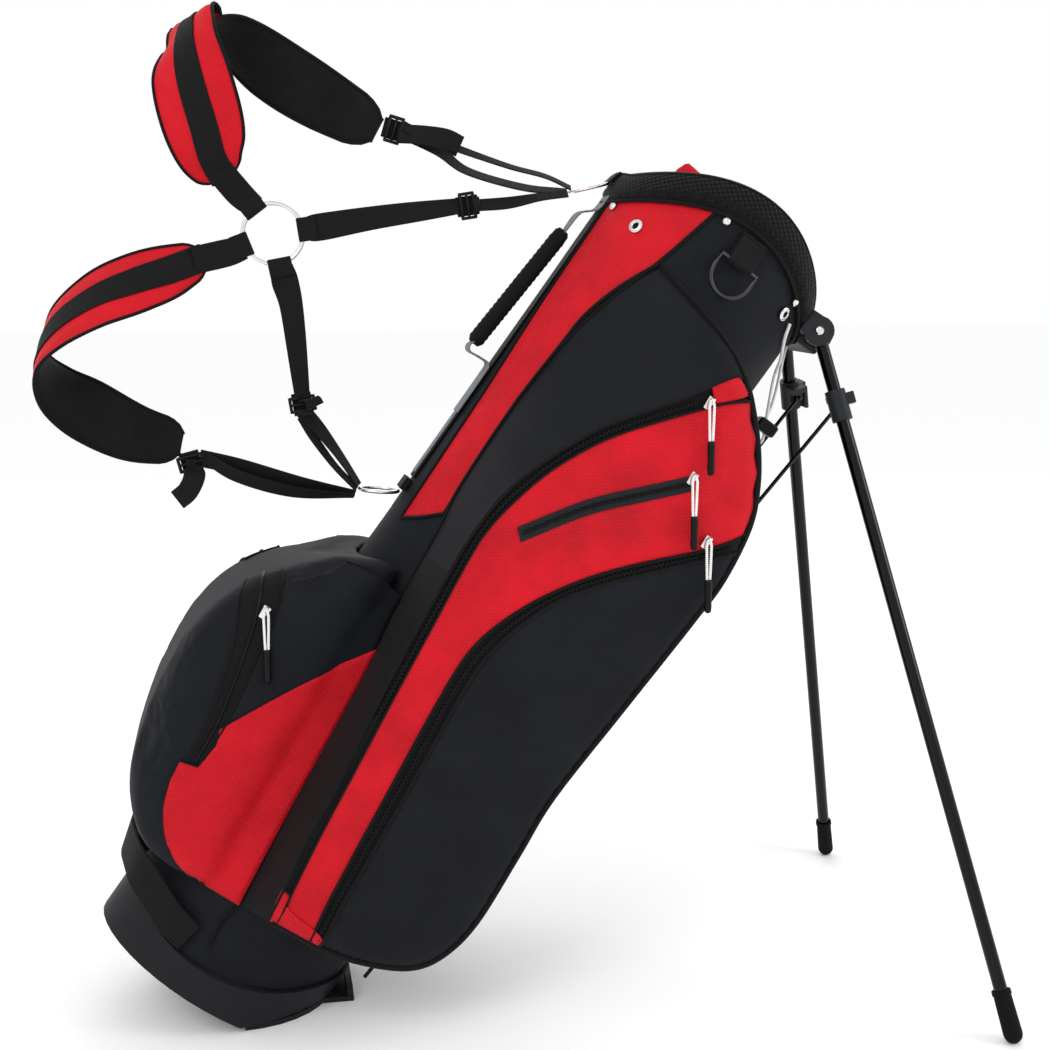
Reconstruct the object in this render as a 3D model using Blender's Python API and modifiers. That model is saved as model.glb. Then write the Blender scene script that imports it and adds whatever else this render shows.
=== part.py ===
"""Golf stand bag on its two legs, with pockets, carry handle and a double shoulder harness.

The bag is modelled upright in the frame of the empty bag_lean: x runs from the spine, where the
handle is, to the leg side; z runs up the bag; y is across it, and the near side is at -y.
bag_lean stands on the floor line where the hinged foot plate starts, and leans the bag onto its legs.
"""

import math

import bmesh
import bpy
from mathutils import Matrix, Vector

# Driving dimensions, in metres
LEAN = math.radians(36.0)
GAP = 0.0003
BODY_X = -0.050          # centre line of the bag's oval tube
HALF_X = 0.113           # half its depth, spine to leg side
HALF_Y = 0.092           # half its width
SHELL_WALL = 0.0025
OVAL_SIDES = 40

BOOT_WALL = 0.0042
BOOT_FLOOR = 0.009
PLATE_LENGTH = 0.083
PLATE_HALF_WIDTH = 0.084
PLATE_THICKNESS = 0.005
PLATE_GAP = 0.0008
HINGE_X = -0.004         # foot plate hinge, from the floor line
HINGE_Z = 0.0045
BARREL_RADIUS = 0.0038
LEVER_REACH = 0.106      # outer end of the lever that lifts the push rods, from the hinge
BARREL_HALF = 0.060
PIN_RADIUS = 0.0018
PIN_HALF = 0.080

CUFF_THICKNESS = 0.006
COLLAR_WALL = 0.0035
DIVIDER_LOW = 0.832
DIVIDER_HIGH = 0.857

PIVOT = Vector((0.071, 0.047, 0.853))     # leg pivot; y is the distance from the middle
LEG_LENGTH = 0.6812                       # the rubber tips then rest on the floor
LEG_RADIUS = 0.0064
LEG_OUT = 0.278                           # how far a leg leans sideways, per unit of length
LEG_DOWN = 0.6393                         # how far it runs down the bag, per unit of length
TIP_RADIUS = 0.009
TIP_LENGTH = 0.030
COLLAR_AT = 0.072                         # push rod pin below the leg pivot, along the leg
ROD_OFFSET = 0.0150                       # push rod pin, inward of the leg's axis
ROD_RADIUS = 0.002
ROD_LENGTH = 0.726
ROD_LEAN = math.radians(4.1)

POCKET_FACE = 0.142                       # outer face of the near side pocket
POCKET_BACK = 0.066                       # where the side pockets meet the flank
FAR_POCKET_FACE = 0.128
POCKET_ROUND = 0.016
BALL_HALF = 0.088                         # half width of the ball pocket
BALL_ROUND = 0.022

WEB = 0.025                               # harness webbing width
WEB_THICKNESS = 0.0018
PAD_THICKNESS = 0.009
RING_RADIUS = 0.0275
RING_WIRE = 0.0022

FLOOR_CENTRE = 0.040                      # the frame's origin is the middle of the foot plate


# ---------------------------------------------------------------- helpers

def clear_scene():
    for obj in list(bpy.data.objects):
        bpy.data.objects.remove(obj)


def collection(name):
    made = bpy.data.collections.new(name)
    bpy.context.scene.collection.children.link(made)
    return made


clear_scene()
PARTS = collection("golf_stand_bag")
CUTTERS = collection("cutters")


def material(name, colour, roughness, metallic=0.0):
    made = bpy.data.materials.new(name)
    made.use_nodes = True
    shader = made.node_tree.nodes["Principled BSDF"]
    shader.inputs["Base Color"].default_value = (*colour, 1.0)
    shader.inputs["Roughness"].default_value = roughness
    shader.inputs["Metallic"].default_value = metallic
    return made


BLACK_CLOTH = (0.018, 0.020, 0.026)
RED_CLOTH = (0.72, 0.012, 0.030)
MESH_CLOTH = (0.012, 0.012, 0.013)
MOULDED = (0.020, 0.021, 0.023)
RUBBER = (0.010, 0.010, 0.010)
STEEL = (0.62, 0.62, 0.60)
GLOSS_BLACK = (0.008, 0.008, 0.009)
WHITE_CORD = (0.80, 0.80, 0.79)


def empty(name, matrix, parent=None):
    made = bpy.data.objects.new(name, None)
    PARTS.objects.link(made)
    made.parent = parent
    made.matrix_local = matrix
    return made


def finish(obj, colour, roughness, parent, metallic=0.0):
    """Gives a finished object its own material and its parent."""
    obj.data.materials.append(material(obj.name + "_finish", colour, roughness, metallic))
    obj.parent = parent
    return obj


def new_object(name, data, group=None):
    made = bpy.data.objects.new(name, data)
    (group or PARTS).objects.link(made)
    return made


def from_bmesh(name, bm, group=None):
    data = bpy.data.meshes.new(name)
    bm.to_mesh(data)
    bm.free()
    return new_object(name, data, group)


def curve_to_mesh(obj, weld=1e-6):
    """The curve's evaluated mesh as an object of its own, with its caps welded."""
    bpy.context.view_layer.update()
    depsgraph = bpy.context.evaluated_depsgraph_get()
    data = bpy.data.meshes.new_from_object(obj.evaluated_get(depsgraph))
    bm = bmesh.new()
    bm.from_mesh(data)
    bmesh.ops.remove_doubles(bm, verts=bm.verts, dist=weld)
    bmesh.ops.recalc_face_normals(bm, faces=bm.faces)
    bm.to_mesh(data)
    bm.free()
    name = obj.name
    matrix = obj.matrix_world.copy()
    group = obj.users_collection[0]
    bpy.data.objects.remove(obj)
    made = new_object(name, data, group)
    made.matrix_world = matrix
    return made


def as_cutter(obj):
    obj.hide_render = True
    obj.display_type = "WIRE"
    return obj


def boolean(obj, tool, operation="DIFFERENCE"):
    step = obj.modifiers.new(operation.lower() + "_" + tool.name, "BOOLEAN")
    step.object = tool
    step.operation = operation
    step.solver = "EXACT"


def solidify(obj, thickness, offset=-1.0):
    step = obj.modifiers.new("wall", "SOLIDIFY")
    step.thickness = thickness
    step.offset = offset
    step.use_even_offset = True


def bevel(obj, width, segments=1):
    step = obj.modifiers.new("edges", "BEVEL")
    step.width = width
    step.segments = segments
    step.limit_method = "ANGLE"
    step.angle_limit = math.radians(40)


def smooth(obj):
    obj.data.shade_smooth()
    obj.data.set_sharp_from_angle(angle=math.radians(35))
    return obj


def oval(name, half_x, half_y, low, high, caps, group=None):
    """An upright oval tube round the bag's centre line; low and high are heights as functions of x."""
    bm = bmesh.new()
    bmesh.ops.create_cone(bm, cap_ends=caps, segments=OVAL_SIDES, radius1=1, radius2=1, depth=2)
    for vert in bm.verts:
        height = high if vert.co.z > 0 else low
        x = BODY_X + vert.co.x * half_x
        vert.co = (x, vert.co.y * half_y, height(x))
    return from_bmesh(name, bm, group)


def box(name, low, high, group=None):
    bm = bmesh.new()
    bmesh.ops.create_cube(bm, size=1.0)
    low, high = Vector(low), Vector(high)
    for vert in bm.verts:
        vert.co = Vector(
            (low[i] + (vert.co[i] + 0.5) * (high[i] - low[i]) for i in range(3))
        )
    return from_bmesh(name, bm, group)


def rod_between(name, start, end, radius, sides=12, group=None):
    """A capped cylinder from start to end."""
    start, end = Vector(start), Vector(end)
    along = end - start
    matrix = Matrix.Translation((start + end) / 2) @ along.to_track_quat("Z", "Y").to_matrix().to_4x4()
    bm = bmesh.new()
    bmesh.ops.create_cone(
        bm, cap_ends=True, segments=sides, radius1=radius, radius2=radius,
        depth=along.length, matrix=matrix,
    )
    return from_bmesh(name, bm, group)


def smooth_route(points, steps=4):
    """Points along the smooth curve through the given ones (Catmull-Rom)."""
    points = [Vector(p) for p in points]
    ends = [2 * points[0] - points[1], *points, 2 * points[-1] - points[-2]]
    route = []
    for i in range(1, len(ends) - 2):
        a, b, c, d = ends[i - 1:i + 3]
        for k in range(steps):
            t = k / steps
            route.append(
                0.5 * ((2 * b) + (c - a) * t + (2 * a - 5 * b + 4 * c - d) * t ** 2
                       + (3 * b - a - 3 * c + d) * t ** 3)
            )
    route.append(points[-1])
    return route


def tube(name, points, radius, resolution=2, closed=False, group=None):
    """A round bar along points."""
    data = bpy.data.curves.new(name, "CURVE")
    data.dimensions = "3D"
    data.bevel_depth = radius
    data.bevel_resolution = resolution
    data.use_fill_caps = not closed
    spline = data.splines.new("POLY")
    spline.points.add(len(points) - 1)
    for point, place in zip(spline.points, points):
        point.co = (*place, 1.0)
    spline.use_cyclic_u = closed
    return new_object(name, data, group)


def ribbon(name, stations, thickness, steps=3, offset=0.0):
    """Webbing or a pad. Each station is a middle point, the direction of its width, and that width."""
    route = smooth_route([s[0] for s in stations], steps)
    across = smooth_route([Vector(s[1]).normalized() for s in stations], steps)
    widths = smooth_route([(s[2], 0, 0) for s in stations], steps)
    bm = bmesh.new()
    rows = []
    for place, side, width in zip(route, across, widths):
        reach = side.normalized() * width.x / 2
        rows.append([bm.verts.new(place + reach * k) for k in (-1, 0, 1)])
    for first, second in zip(rows, rows[1:]):
        for k in (0, 1):
            bm.faces.new((first[k], first[k + 1], second[k + 1], second[k]))
    made = from_bmesh(name, bm)
    solidify(made, thickness, offset)
    return made


def outline(name, points, half_depth, rounding, group=None, resolution=3):
    """A slab in the x-z plane with a smooth closed outline and rounded rims; its origin is mid depth."""
    data = bpy.data.curves.new(name, "CURVE")
    data.dimensions = "2D"
    data.fill_mode = "BOTH"
    data.extrude = half_depth - rounding
    data.bevel_depth = rounding
    data.bevel_resolution = 1
    data.offset = -rounding
    data.resolution_u = resolution
    spline = data.splines.new("BEZIER")
    spline.bezier_points.add(len(points) - 1)
    for point, place in zip(spline.bezier_points, points):
        point.co = (place[0], place[1], 0.0)
        kind = "VECTOR" if len(place) > 2 else "AUTO"
        point.handle_left_type = kind
        point.handle_right_type = kind
    spline.use_cyclic_u = True
    return new_object(name, data, group)


# ---------------------------------------------------------------- heights round the bag

def share(x):
    return max(-1.0, min(1.0, (x - BODY_X) / HALF_X))


def seam_height(x):
    """Lower seam of the padded cuff: lower at the spine and the legs, arched over the sides."""
    t = share(x)
    return 0.841 + 0.011 * t + 0.045 * (1 - t * t)


def rim_height(x):
    t = share(x)
    return 0.865 - 0.002 * t + 0.048 * (1 - t * t)


def boot_height(x):
    t = share(x)
    return 0.032 + 0.015 * t + 0.031 * t * t


def above_floor(x, height):
    """How far up the bag the level plane at that height above the floor is."""
    return (height + x * math.sin(LEAN)) / math.cos(LEAN)


UPRIGHT = Matrix.Rotation(math.radians(90), 4, "X")


# ---------------------------------------------------------------- frame of the bag

BAG_PLACE = Matrix.Translation((-FLOOR_CENTRE, 0, 0)) @ Matrix.Rotation(LEAN, 4, "Y")
BAG = empty("bag_lean", BAG_PLACE)


def shell_cutter(name, margin, low=-0.05, high=1.0):
    """The space that the oval tube fills, grown by margin."""
    return as_cutter(
        oval(name, HALF_X + margin, HALF_Y + margin, lambda x: low, lambda x: high, True, CUTTERS)
    )


def in_bag(obj):
    obj.parent = BAG
    return obj


# ---------------------------------------------------------------- body

def make_body():
    def low(x):
        return max(BOOT_FLOOR + 0.0015, above_floor(x, PLATE_THICKNESS + PLATE_GAP + BOOT_FLOOR + 0.001))

    shell = oval("body_shell", HALF_X, HALF_Y, low, lambda x: seam_height(x) - GAP, False)
    solidify(shell, SHELL_WALL)
    finish(smooth(shell), BLACK_CLOTH, 0.8, BAG)

    collar = oval("top_collar", HALF_X, HALF_Y, seam_height, lambda x: rim_height(x) - 0.003, False)
    solidify(collar, COLLAR_WALL)
    finish(smooth(collar), MOULDED, 0.5, BAG)

    reach = CUFF_THICKNESS + 0.0004
    cuff = oval("collar_cuff", HALF_X + reach, HALF_Y + reach, seam_height, rim_height, False)
    solidify(cuff, CUFF_THICKNESS)
    finish(smooth(cuff), MESH_CLOTH, 0.9, BAG)


def make_dividers():
    """A padded cross in the mouth, and the full-length cloth walls below it."""
    inner_x = HALF_X - COLLAR_WALL - 0.003
    inner_y = HALF_Y - COLLAR_WALL - 0.003
    bar = 0.006
    low, high = DIVIDER_LOW, DIVIDER_HIGH
    frame = box("divider_frame", (BODY_X - inner_x, -bar, low), (BODY_X + inner_x, bar, high))
    cross = box("divider_cross", (BODY_X - bar, -inner_y, low), (BODY_X + bar, inner_y, high), CUTTERS)
    boolean(frame, in_bag(as_cutter(cross)), "UNION")
    finish(frame, RED_CLOTH, 0.8, BAG)
    bevel(frame, 0.002)

    wall = 0.0009
    reach_x = HALF_X - SHELL_WALL - 0.004
    reach_y = HALF_Y - SHELL_WALL - 0.002
    low = above_floor(BODY_X + reach_x, 0.020)
    high = DIVIDER_LOW - 0.0005
    sheet = box("divider_walls", (BODY_X - reach_x, -wall, low), (BODY_X + reach_x, wall, high))
    across = box("divider_wall_across", (BODY_X - wall, -reach_y, low),
                 (BODY_X + wall, reach_y, high), CUTTERS)
    boolean(sheet, in_bag(as_cutter(across)), "UNION")
    finish(sheet, BLACK_CLOTH, 0.8, BAG)


def make_stays():
    """Fibreglass stays down the inside of the tube, one on each flank, which hold it open."""
    radius = 0.0025
    inset = SHELL_WALL + radius + 0.0006
    forward = 0.045
    x = BODY_X + forward
    for name, side in (("stay_near", -1), ("stay_far", 1)):
        y = side * (HALF_Y - inset) * math.sqrt(1 - (forward / (HALF_X - inset)) ** 2)
        finish(smooth(rod_between(name, (x, y, 0.075), (x, y, 0.850), radius, 10)), GLOSS_BLACK, 0.4, BAG)


def make_base():
    """The moulded boot, bevelled where the leaning bag meets the floor, and the foot plate hinged to it."""
    grow = BOOT_WALL + GAP
    boot = oval("bottom_boot", HALF_X + grow, HALF_Y + grow, lambda x: 0.0, boot_height, True)
    inner = oval("boot_inside", HALF_X + GAP, HALF_Y + GAP, lambda x: BOOT_FLOOR, lambda x: 0.2, True,
                 CUTTERS)
    cuts = ((boot, PLATE_THICKNESS + PLATE_GAP), (inner, PLATE_THICKNESS + PLATE_GAP + BOOT_FLOOR))
    for obj, height in cuts:
        bm = bmesh.new()
        bm.from_mesh(obj.data)
        cut = bmesh.ops.bisect_plane(
            bm, geom=bm.verts[:] + bm.edges[:] + bm.faces[:],
            plane_co=(0, 0, height / math.cos(LEAN)),
            plane_no=(math.sin(LEAN), 0, -math.cos(LEAN)), clear_outer=True,
        )
        bmesh.ops.holes_fill(bm, edges=[e for e in cut["geom_cut"] if isinstance(e, bmesh.types.BMEdge)])
        bm.to_mesh(obj.data)
        bm.free()
    boolean(boot, in_bag(as_cutter(inner)))

    hinge_place = BAG_PLACE.inverted() @ Matrix.Translation((HINGE_X - FLOOR_CENTRE, 0, HINGE_Z))
    hinge = empty("foot_hinge", hinge_place, BAG)
    groove = rod_between("hinge_groove", (0, -BARREL_HALF - 0.0005, 0), (0, BARREL_HALF + 0.0005, 0),
                         BARREL_RADIUS + 0.0008, 16, CUTTERS)
    bore = rod_between("hinge_bore", (0, -PIN_HALF - 0.001, 0), (0, PIN_HALF + 0.001, 0),
                       PIN_RADIUS + 0.0004, 12, CUTTERS)
    for tool in (groove, bore):
        as_cutter(tool).parent = hinge
        boolean(boot, tool)
    finish(smooth(boot), MOULDED, 0.55, BAG)

    bm = bmesh.new()
    bmesh.ops.create_cone(bm, cap_ends=True, segments=32, radius1=1, radius2=1, depth=PLATE_THICKNESS)
    for vert in bm.verts:
        vert.co.x *= PLATE_LENGTH - HINGE_X
        vert.co.y *= PLATE_HALF_WIDTH
    cut = bmesh.ops.bisect_plane(
        bm, geom=bm.verts[:] + bm.edges[:] + bm.faces[:],
        plane_co=(0.0003, 0, 0), plane_no=(-1, 0, 0), clear_outer=True,
    )
    bmesh.ops.holes_fill(bm, edges=[e for e in cut["geom_cut"] if isinstance(e, bmesh.types.BMEdge)])
    bmesh.ops.translate(bm, verts=bm.verts, vec=(0, 0, PLATE_THICKNESS / 2 - HINGE_Z))
    plate = from_bmesh("foot_plate", bm)
    barrel = rod_between("plate_barrel", (0, -BARREL_HALF, 0), (0, BARREL_HALF, 0), BARREL_RADIUS, 16,
                         CUTTERS)
    top = PLATE_THICKNESS - HINGE_Z
    tongue = box("plate_tongue", (0.050, -0.042, -HINGE_Z), (LEVER_REACH, 0.042, top), CUTTERS)
    lever = box("plate_lever", (LEVER_REACH - 0.0065, -0.040, -HINGE_Z + 0.001),
                (LEVER_REACH - 0.0005, 0.040, 0.0075), CUTTERS)
    pin_hole = rod_between("plate_bore", (0, -0.1, 0), (0, 0.1, 0), PIN_RADIUS + 0.0003, 12, CUTTERS)
    joins = ((barrel, "UNION"), (tongue, "UNION"), (lever, "UNION"), (pin_hole, "DIFFERENCE"))
    for tool, operation in joins:
        as_cutter(tool).parent = hinge
        boolean(plate, tool, operation)
    finish(smooth(plate), MOULDED, 0.6, hinge)

    pin = rod_between("foot_hinge_pin", (0, -PIN_HALF, 0), (0, PIN_HALF, 0), PIN_RADIUS, 12)
    pin.matrix_local = hinge_place
    finish(smooth(pin), STEEL, 0.35, BAG, 1.0)


# ---------------------------------------------------------------- pockets

SIDE_POCKET = (
    (0.001, 0.766), (0.038, 0.746), (0.070, 0.708), (0.096, 0.660), (0.106, 0.600), (0.102, 0.520),
    (0.098, 0.448), (0.094, 0.350), (0.102, 0.270), (0.106, 0.205), (0.084, 0.152), (0.030, 0.128),
    (-0.040, 0.108, 1), (-0.088, 0.108, 1), (-0.100, 0.300), (-0.112, 0.450), (-0.122, 0.545),
    (-0.100, 0.615), (-0.055, 0.690),
)
BALL_POCKET = (
    (-0.128, 0.446, 1), (-0.160, 0.438), (-0.192, 0.404), (-0.232, 0.362), (-0.253, 0.312), (-0.251, 0.245),
    (-0.237, 0.180), (-0.212, 0.122), (-0.176, 0.090), (-0.098, 0.090, 1), (-0.112, 0.300),
)


def make_pocket(name, points, low, high, rounding, cutter_margin):
    """A closed pocket pressed against the oval tube, from y = low to y = high."""
    slab = outline(name, points, (high - low) / 2, rounding)
    slab.matrix_world = Matrix.Translation((0, (low + high) / 2, 0)) @ UPRIGHT
    slab = curve_to_mesh(slab)
    tool = in_bag(shell_cutter(name + "_seat", cutter_margin))
    boolean(slab, tool)
    finish(slab, BLACK_CLOTH, 0.8, BAG)
    return slab


def make_pockets():
    make_pocket("side_pocket_near", SIDE_POCKET, -POCKET_FACE, -POCKET_BACK, POCKET_ROUND, GAP)
    make_pocket("side_pocket_far", SIDE_POCKET, POCKET_BACK, FAR_POCKET_FACE, POCKET_ROUND, GAP)
    make_pocket("ball_pocket", BALL_POCKET, -BALL_HALF, BALL_HALF, BALL_ROUND, GAP)


# ---------------------------------------------------------------- handle, ring and loops

def make_handle():
    top = Vector((-0.1805, 0, 0.790))
    bottom = Vector((-0.1895, 0, 0.652))
    finish(smooth(rod_between("handle_grip", top, bottom, 0.0078, 14)), MESH_CLOTH, 0.85, BAG)
    edge = BODY_X - HALF_X - 0.0024
    ribbon("handle_web_top", [
        ((top.x - 0.0005, 0, top.z + 0.0012), (0, 1, 0), WEB),
        ((top.x + 0.002, 0, 0.812), (0, 1, 0), WEB),
        ((edge - 0.001, 0, 0.826), (0, 1, 0), WEB),
    ], WEB_THICKNESS)
    ribbon("handle_web_bottom", [
        ((bottom.x, 0, bottom.z - 0.0012), (0, 1, 0), WEB),
        ((bottom.x + 0.006, 0, 0.632), (0, 1, 0), WEB),
        ((edge, 0, 0.622), (0, 1, 0), WEB),
        ((edge, 0, 0.598), (0, 1, 0), WEB),
    ], WEB_THICKNESS)
    for name in ("handle_web_top", "handle_web_bottom"):
        finish(bpy.data.objects[name], BLACK_CLOTH, 0.8, BAG)
    ribbon("base_grab_loop", [
        ((-0.1680, 0, 0.084), (0, 1, 0), 0.030),
        ((-0.1880, 0, 0.080), (0, 1, 0), 0.030),
        ((-0.1960, 0, 0.062), (0, 1, 0), 0.030),
        ((-0.1860, 0, 0.052), (0, 1, 0), 0.030),
        ((-0.1700, 0, 0.0525), (0, 1, 0), 0.030),
    ], 0.0024)
    finish(bpy.data.objects["base_grab_loop"], BLACK_CLOTH, 0.8, BAG)


RING_BAR = Vector((-0.046, -HALF_Y - 0.0066, 0.848))
RING_SIZE = 0.020


def make_towel_ring():
    """A D-ring that hangs from a sewn tab on the near flank, and swings up from it."""
    half = 0.0135
    tab = box("ring_tab", (RING_BAR.x - half, -HALF_Y - 0.0040, RING_BAR.z + 0.002),
              (RING_BAR.x + half, -HALF_Y - 0.0012, RING_BAR.z + 0.028))
    finish(tab, BLACK_CLOTH, 0.8, BAG)
    bar = empty("towel_ring_hinge", Matrix.Translation(RING_BAR), BAG)
    turns = 14
    points = [(RING_SIZE, 0, 0), (-RING_SIZE, 0, 0)]
    for k in range(turns + 1):
        angle = math.pi + math.pi * k / turns
        points.append((RING_SIZE * math.cos(angle), 0, -0.012 + RING_SIZE * math.sin(angle)))
    made = tube("towel_ring", points, 0.0021, 2, closed=True)
    finish(made, GLOSS_BLACK, 0.35, bar, 0.0)


# ---------------------------------------------------------------- stand

def leg_matrix(side):
    """At the pivot: -z runs down the leg, and y is the hinge axis, which points to the bag's middle."""
    out = math.sqrt(1 - LEG_OUT ** 2 - LEG_DOWN ** 2)
    down = Vector((out, side * LEG_OUT, -LEG_DOWN))
    hinge = Vector((0, 0, -1)).cross(down).normalized()
    if hinge.y * side > 0:
        hinge = -hinge
    across = hinge.cross(-down)
    matrix = Matrix((across, hinge, -down)).transposed().to_4x4()
    matrix.translation = (PIVOT.x, side * PIVOT.y, PIVOT.z)
    return matrix


def swing_matrix(side):
    """At the pivot, in the bag's directions: z runs up the bag, and y is the same hinge axis."""
    leg = leg_matrix(side)
    hinge = leg.to_3x3().col[1]
    up = Vector((0, 0, 1))
    matrix = Matrix((hinge.cross(up), hinge, up)).transposed().to_4x4()
    matrix.translation = leg.translation
    return matrix


def box_across(name, out, low, high):
    """A cutter box whose x runs outward from the bag, in a frame whose own x may point the other way."""
    ends = sorted((low[0] * out, high[0] * out))
    return box(name, (ends[0], low[1], low[2]), (ends[1], high[1], high[2]), CUTTERS)


def make_bracket():
    """Moulded yoke under the collar: a bridge with a slotted ear for each leg."""
    bridge = box("stand_bracket", (0.040, -0.0355, 0.836), (0.086, 0.0355, 0.868))
    bevel(bridge, 0.003, 2)
    for side, name in ((-1, "near"), (1, "far")):
        swing_place = swing_matrix(side)
        swing = empty("leg_swing_" + name, swing_place, BAG)
        out = -side          # the way out from the bag along the swing frame's own x
        ear = rod_between("ear_" + name, (0, -0.0125, 0), (0, 0.0125, 0), 0.0145, 20, CUTTERS)
        web = box_across("ear_web_" + name, out, (-0.0155, -0.0119, -0.0095), (0.0042, 0.0235, 0.0139))
        slot = box_across("ear_slot_" + name, out, (-0.0098, -0.0072, -0.040), (0.040, 0.0072, 0.0098))
        bore = rod_between("ear_bore_" + name, (0, -0.03, 0), (0, 0.03, 0), 0.0025, 12, CUTTERS)
        steps = ((ear, "UNION"), (web, "UNION"), (slot, "DIFFERENCE"), (bore, "DIFFERENCE"))
        for tool, operation in steps:
            as_cutter(tool).parent = swing
            boolean(bridge, tool, operation)
        pin = rod_between("leg_pivot_pin_" + name, (0, -0.0138, 0), (0, 0.0118, 0), 0.0022, 12)
        pin.matrix_local = swing_place
        finish(smooth(pin), STEEL, 0.3, BAG, 1.0)
    reach = CUFF_THICKNESS + 0.0008
    seat = oval("bracket_seat", HALF_X + reach, HALF_Y + reach, lambda x: 0.6, lambda x: 1.0, True, CUTTERS)
    boolean(bridge, in_bag(as_cutter(seat)))
    finish(smooth(bridge), MOULDED, 0.5, BAG)


def rod_room(side, name, leg):
    """The room beside a leg collar that the push rod's eye turns in as the leg folds."""
    room = box_across("rod_room_" + name, -side, (-0.030, ROD_OFFSET - 0.0030, -COLLAR_AT - 0.030),
                      (0.0052, 0.030, -COLLAR_AT + 0.0052))
    as_cutter(room).parent = leg
    return room


def make_leg(side, name):
    leg = empty("leg_" + name + "_frame", leg_matrix(side), BAG)
    length = LEG_LENGTH - TIP_LENGTH
    shaft = rod_between("leg_tube_" + name, (0, 0, 0.0068), (0, 0, -length), LEG_RADIUS, 16)
    bore = rod_between("leg_bore_" + name, (0, -0.02, 0), (0, 0.02, 0), 0.0025, 12, CUTTERS)
    as_cutter(bore).parent = leg
    boolean(shaft, bore)
    finish(smooth(shaft), GLOSS_BLACK, 0.2, leg, 0.6)

    bm = bmesh.new()
    steps = 5
    profile = [(0.0, -LEG_LENGTH - TIP_RADIUS)]
    for k in range(1, steps + 1):
        angle = math.pi / 2 * k / steps
        profile.append((TIP_RADIUS * math.sin(angle), -LEG_LENGTH - TIP_RADIUS * math.cos(angle)))
    profile += [(TIP_RADIUS * 0.92, -length + 0.010), (LEG_RADIUS + GAP, -length + 0.010)]
    profile += [(LEG_RADIUS + GAP, -length - GAP), (0.0, -length - GAP)]
    verts = [bm.verts.new((r, 0, z)) for r, z in reversed(profile)]
    for first, second in zip(verts, verts[1:]):
        bm.edges.new((first, second))
    tip = from_bmesh("foot_tip_" + name, bm)
    turn = tip.modifiers.new("turn", "SCREW")
    turn.steps = 16
    turn.render_steps = 16
    turn.use_merge_vertices = True
    turn.merge_threshold = 0.0001
    finish(tip, RUBBER, 0.9, leg)

    collar = rod_between("leg_collar_" + name, (0, 0, -COLLAR_AT + 0.014), (0, 0, -COLLAR_AT - 0.016),
                         0.0098, 18)
    lug = box("collar_lug_" + name, (-0.0085, 0.0, -COLLAR_AT - 0.013),
              (0.0085, 0.0195, -COLLAR_AT + 0.011), CUTTERS)
    hook = box_across("collar_hook_" + name, -side, (0.006, -0.0055, -COLLAR_AT - 0.002),
                      (0.0165, 0.0055, -COLLAR_AT + 0.009))
    hollow = rod_between("collar_bore_" + name, (0, 0, 0), (0, 0, -0.2), LEG_RADIUS + GAP, 16, CUTTERS)
    stud = rod_between("collar_stud_" + name, (0, LEG_RADIUS + 0.002, -COLLAR_AT),
                       (0, ROD_OFFSET + 0.0045, -COLLAR_AT), 0.0018, 12, CUTTERS)
    steps = (
        (lug, "UNION"), (hook, "UNION"), (hollow, "DIFFERENCE"),
        (rod_room(side, name, leg), "DIFFERENCE"), (stud, "UNION"),
    )
    for tool, operation in steps:
        as_cutter(tool).parent = leg
        boolean(collar, tool, operation)
    finish(smooth(collar), MOULDED, 0.5, leg)

    turn_down = Matrix.Translation((0, ROD_OFFSET, -COLLAR_AT))
    angle = math.acos(LEG_DOWN) + ROD_LEAN
    sign = -1 if side < 0 else 1
    pin = empty("rod_" + name + "_hinge", turn_down @ Matrix.Rotation(-sign * angle, 4, "Y"), leg)
    rod = rod_between("push_rod_" + name, (0, 0, 0.0035), (0, 0, -ROD_LENGTH), ROD_RADIUS, 10)
    eye = rod_between("rod_eye_" + name, (0, -0.0022, 0), (0, 0.0022, 0), 0.0044, 14, CUTTERS)
    eye_hole = rod_between("rod_eye_hole_" + name, (0, -0.01, 0), (0, 0.01, 0), 0.0023, 12, CUTTERS)
    for tool, operation in ((eye, "UNION"), (eye_hole, "DIFFERENCE")):
        as_cutter(tool).parent = pin
        boolean(rod, tool, operation)
    finish(rod, GLOSS_BLACK, 0.35, pin, 0.4)


def make_stand():
    make_bracket()
    make_leg(-1, "near")
    make_leg(1, "far")


# ---------------------------------------------------------------- elastic cord

CORD_RADIUS = 0.0016
KEEPER = Vector((0.0960, -0.0085, 0.7550))


def make_cord():
    """White elastic loop below the yoke, gathered by a small keeper."""
    route = [
        (0.0375, -0.0620, 0.8400), (0.0450, -0.0530, 0.8270), (0.0600, -0.0340, 0.8120),
        (0.0700, -0.0200, 0.7960), (KEEPER.x - 0.0052, -0.0120, KEEPER.z + 0.0085),
    ]
    cord = tube("elastic_cord_near", smooth_route(route, 4), CORD_RADIUS)
    finish(cord, WHITE_CORD, 0.7, BAG)
    route = [
        (0.0690, 0.0040, 0.8325), (0.0740, 0.0040, 0.8200), (0.0850, 0.0020, 0.7950),
        (0.0900, -0.0020, 0.7780), (KEEPER.x - 0.0030, -0.0050, KEEPER.z + 0.0085),
    ]
    cord = tube("elastic_cord_middle", smooth_route(route, 4), CORD_RADIUS)
    finish(cord, WHITE_CORD, 0.7, BAG)
    reach = Vector((0.0110, 0.0075, 0.0065))
    keeper = box("cord_keeper", KEEPER - reach, KEEPER + reach)
    bevel(keeper, 0.002)
    finish(keeper, GLOSS_BLACK, 0.5, BAG)


# ---------------------------------------------------------------- zips

SLIDER_LIFT = 0.0008


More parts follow.
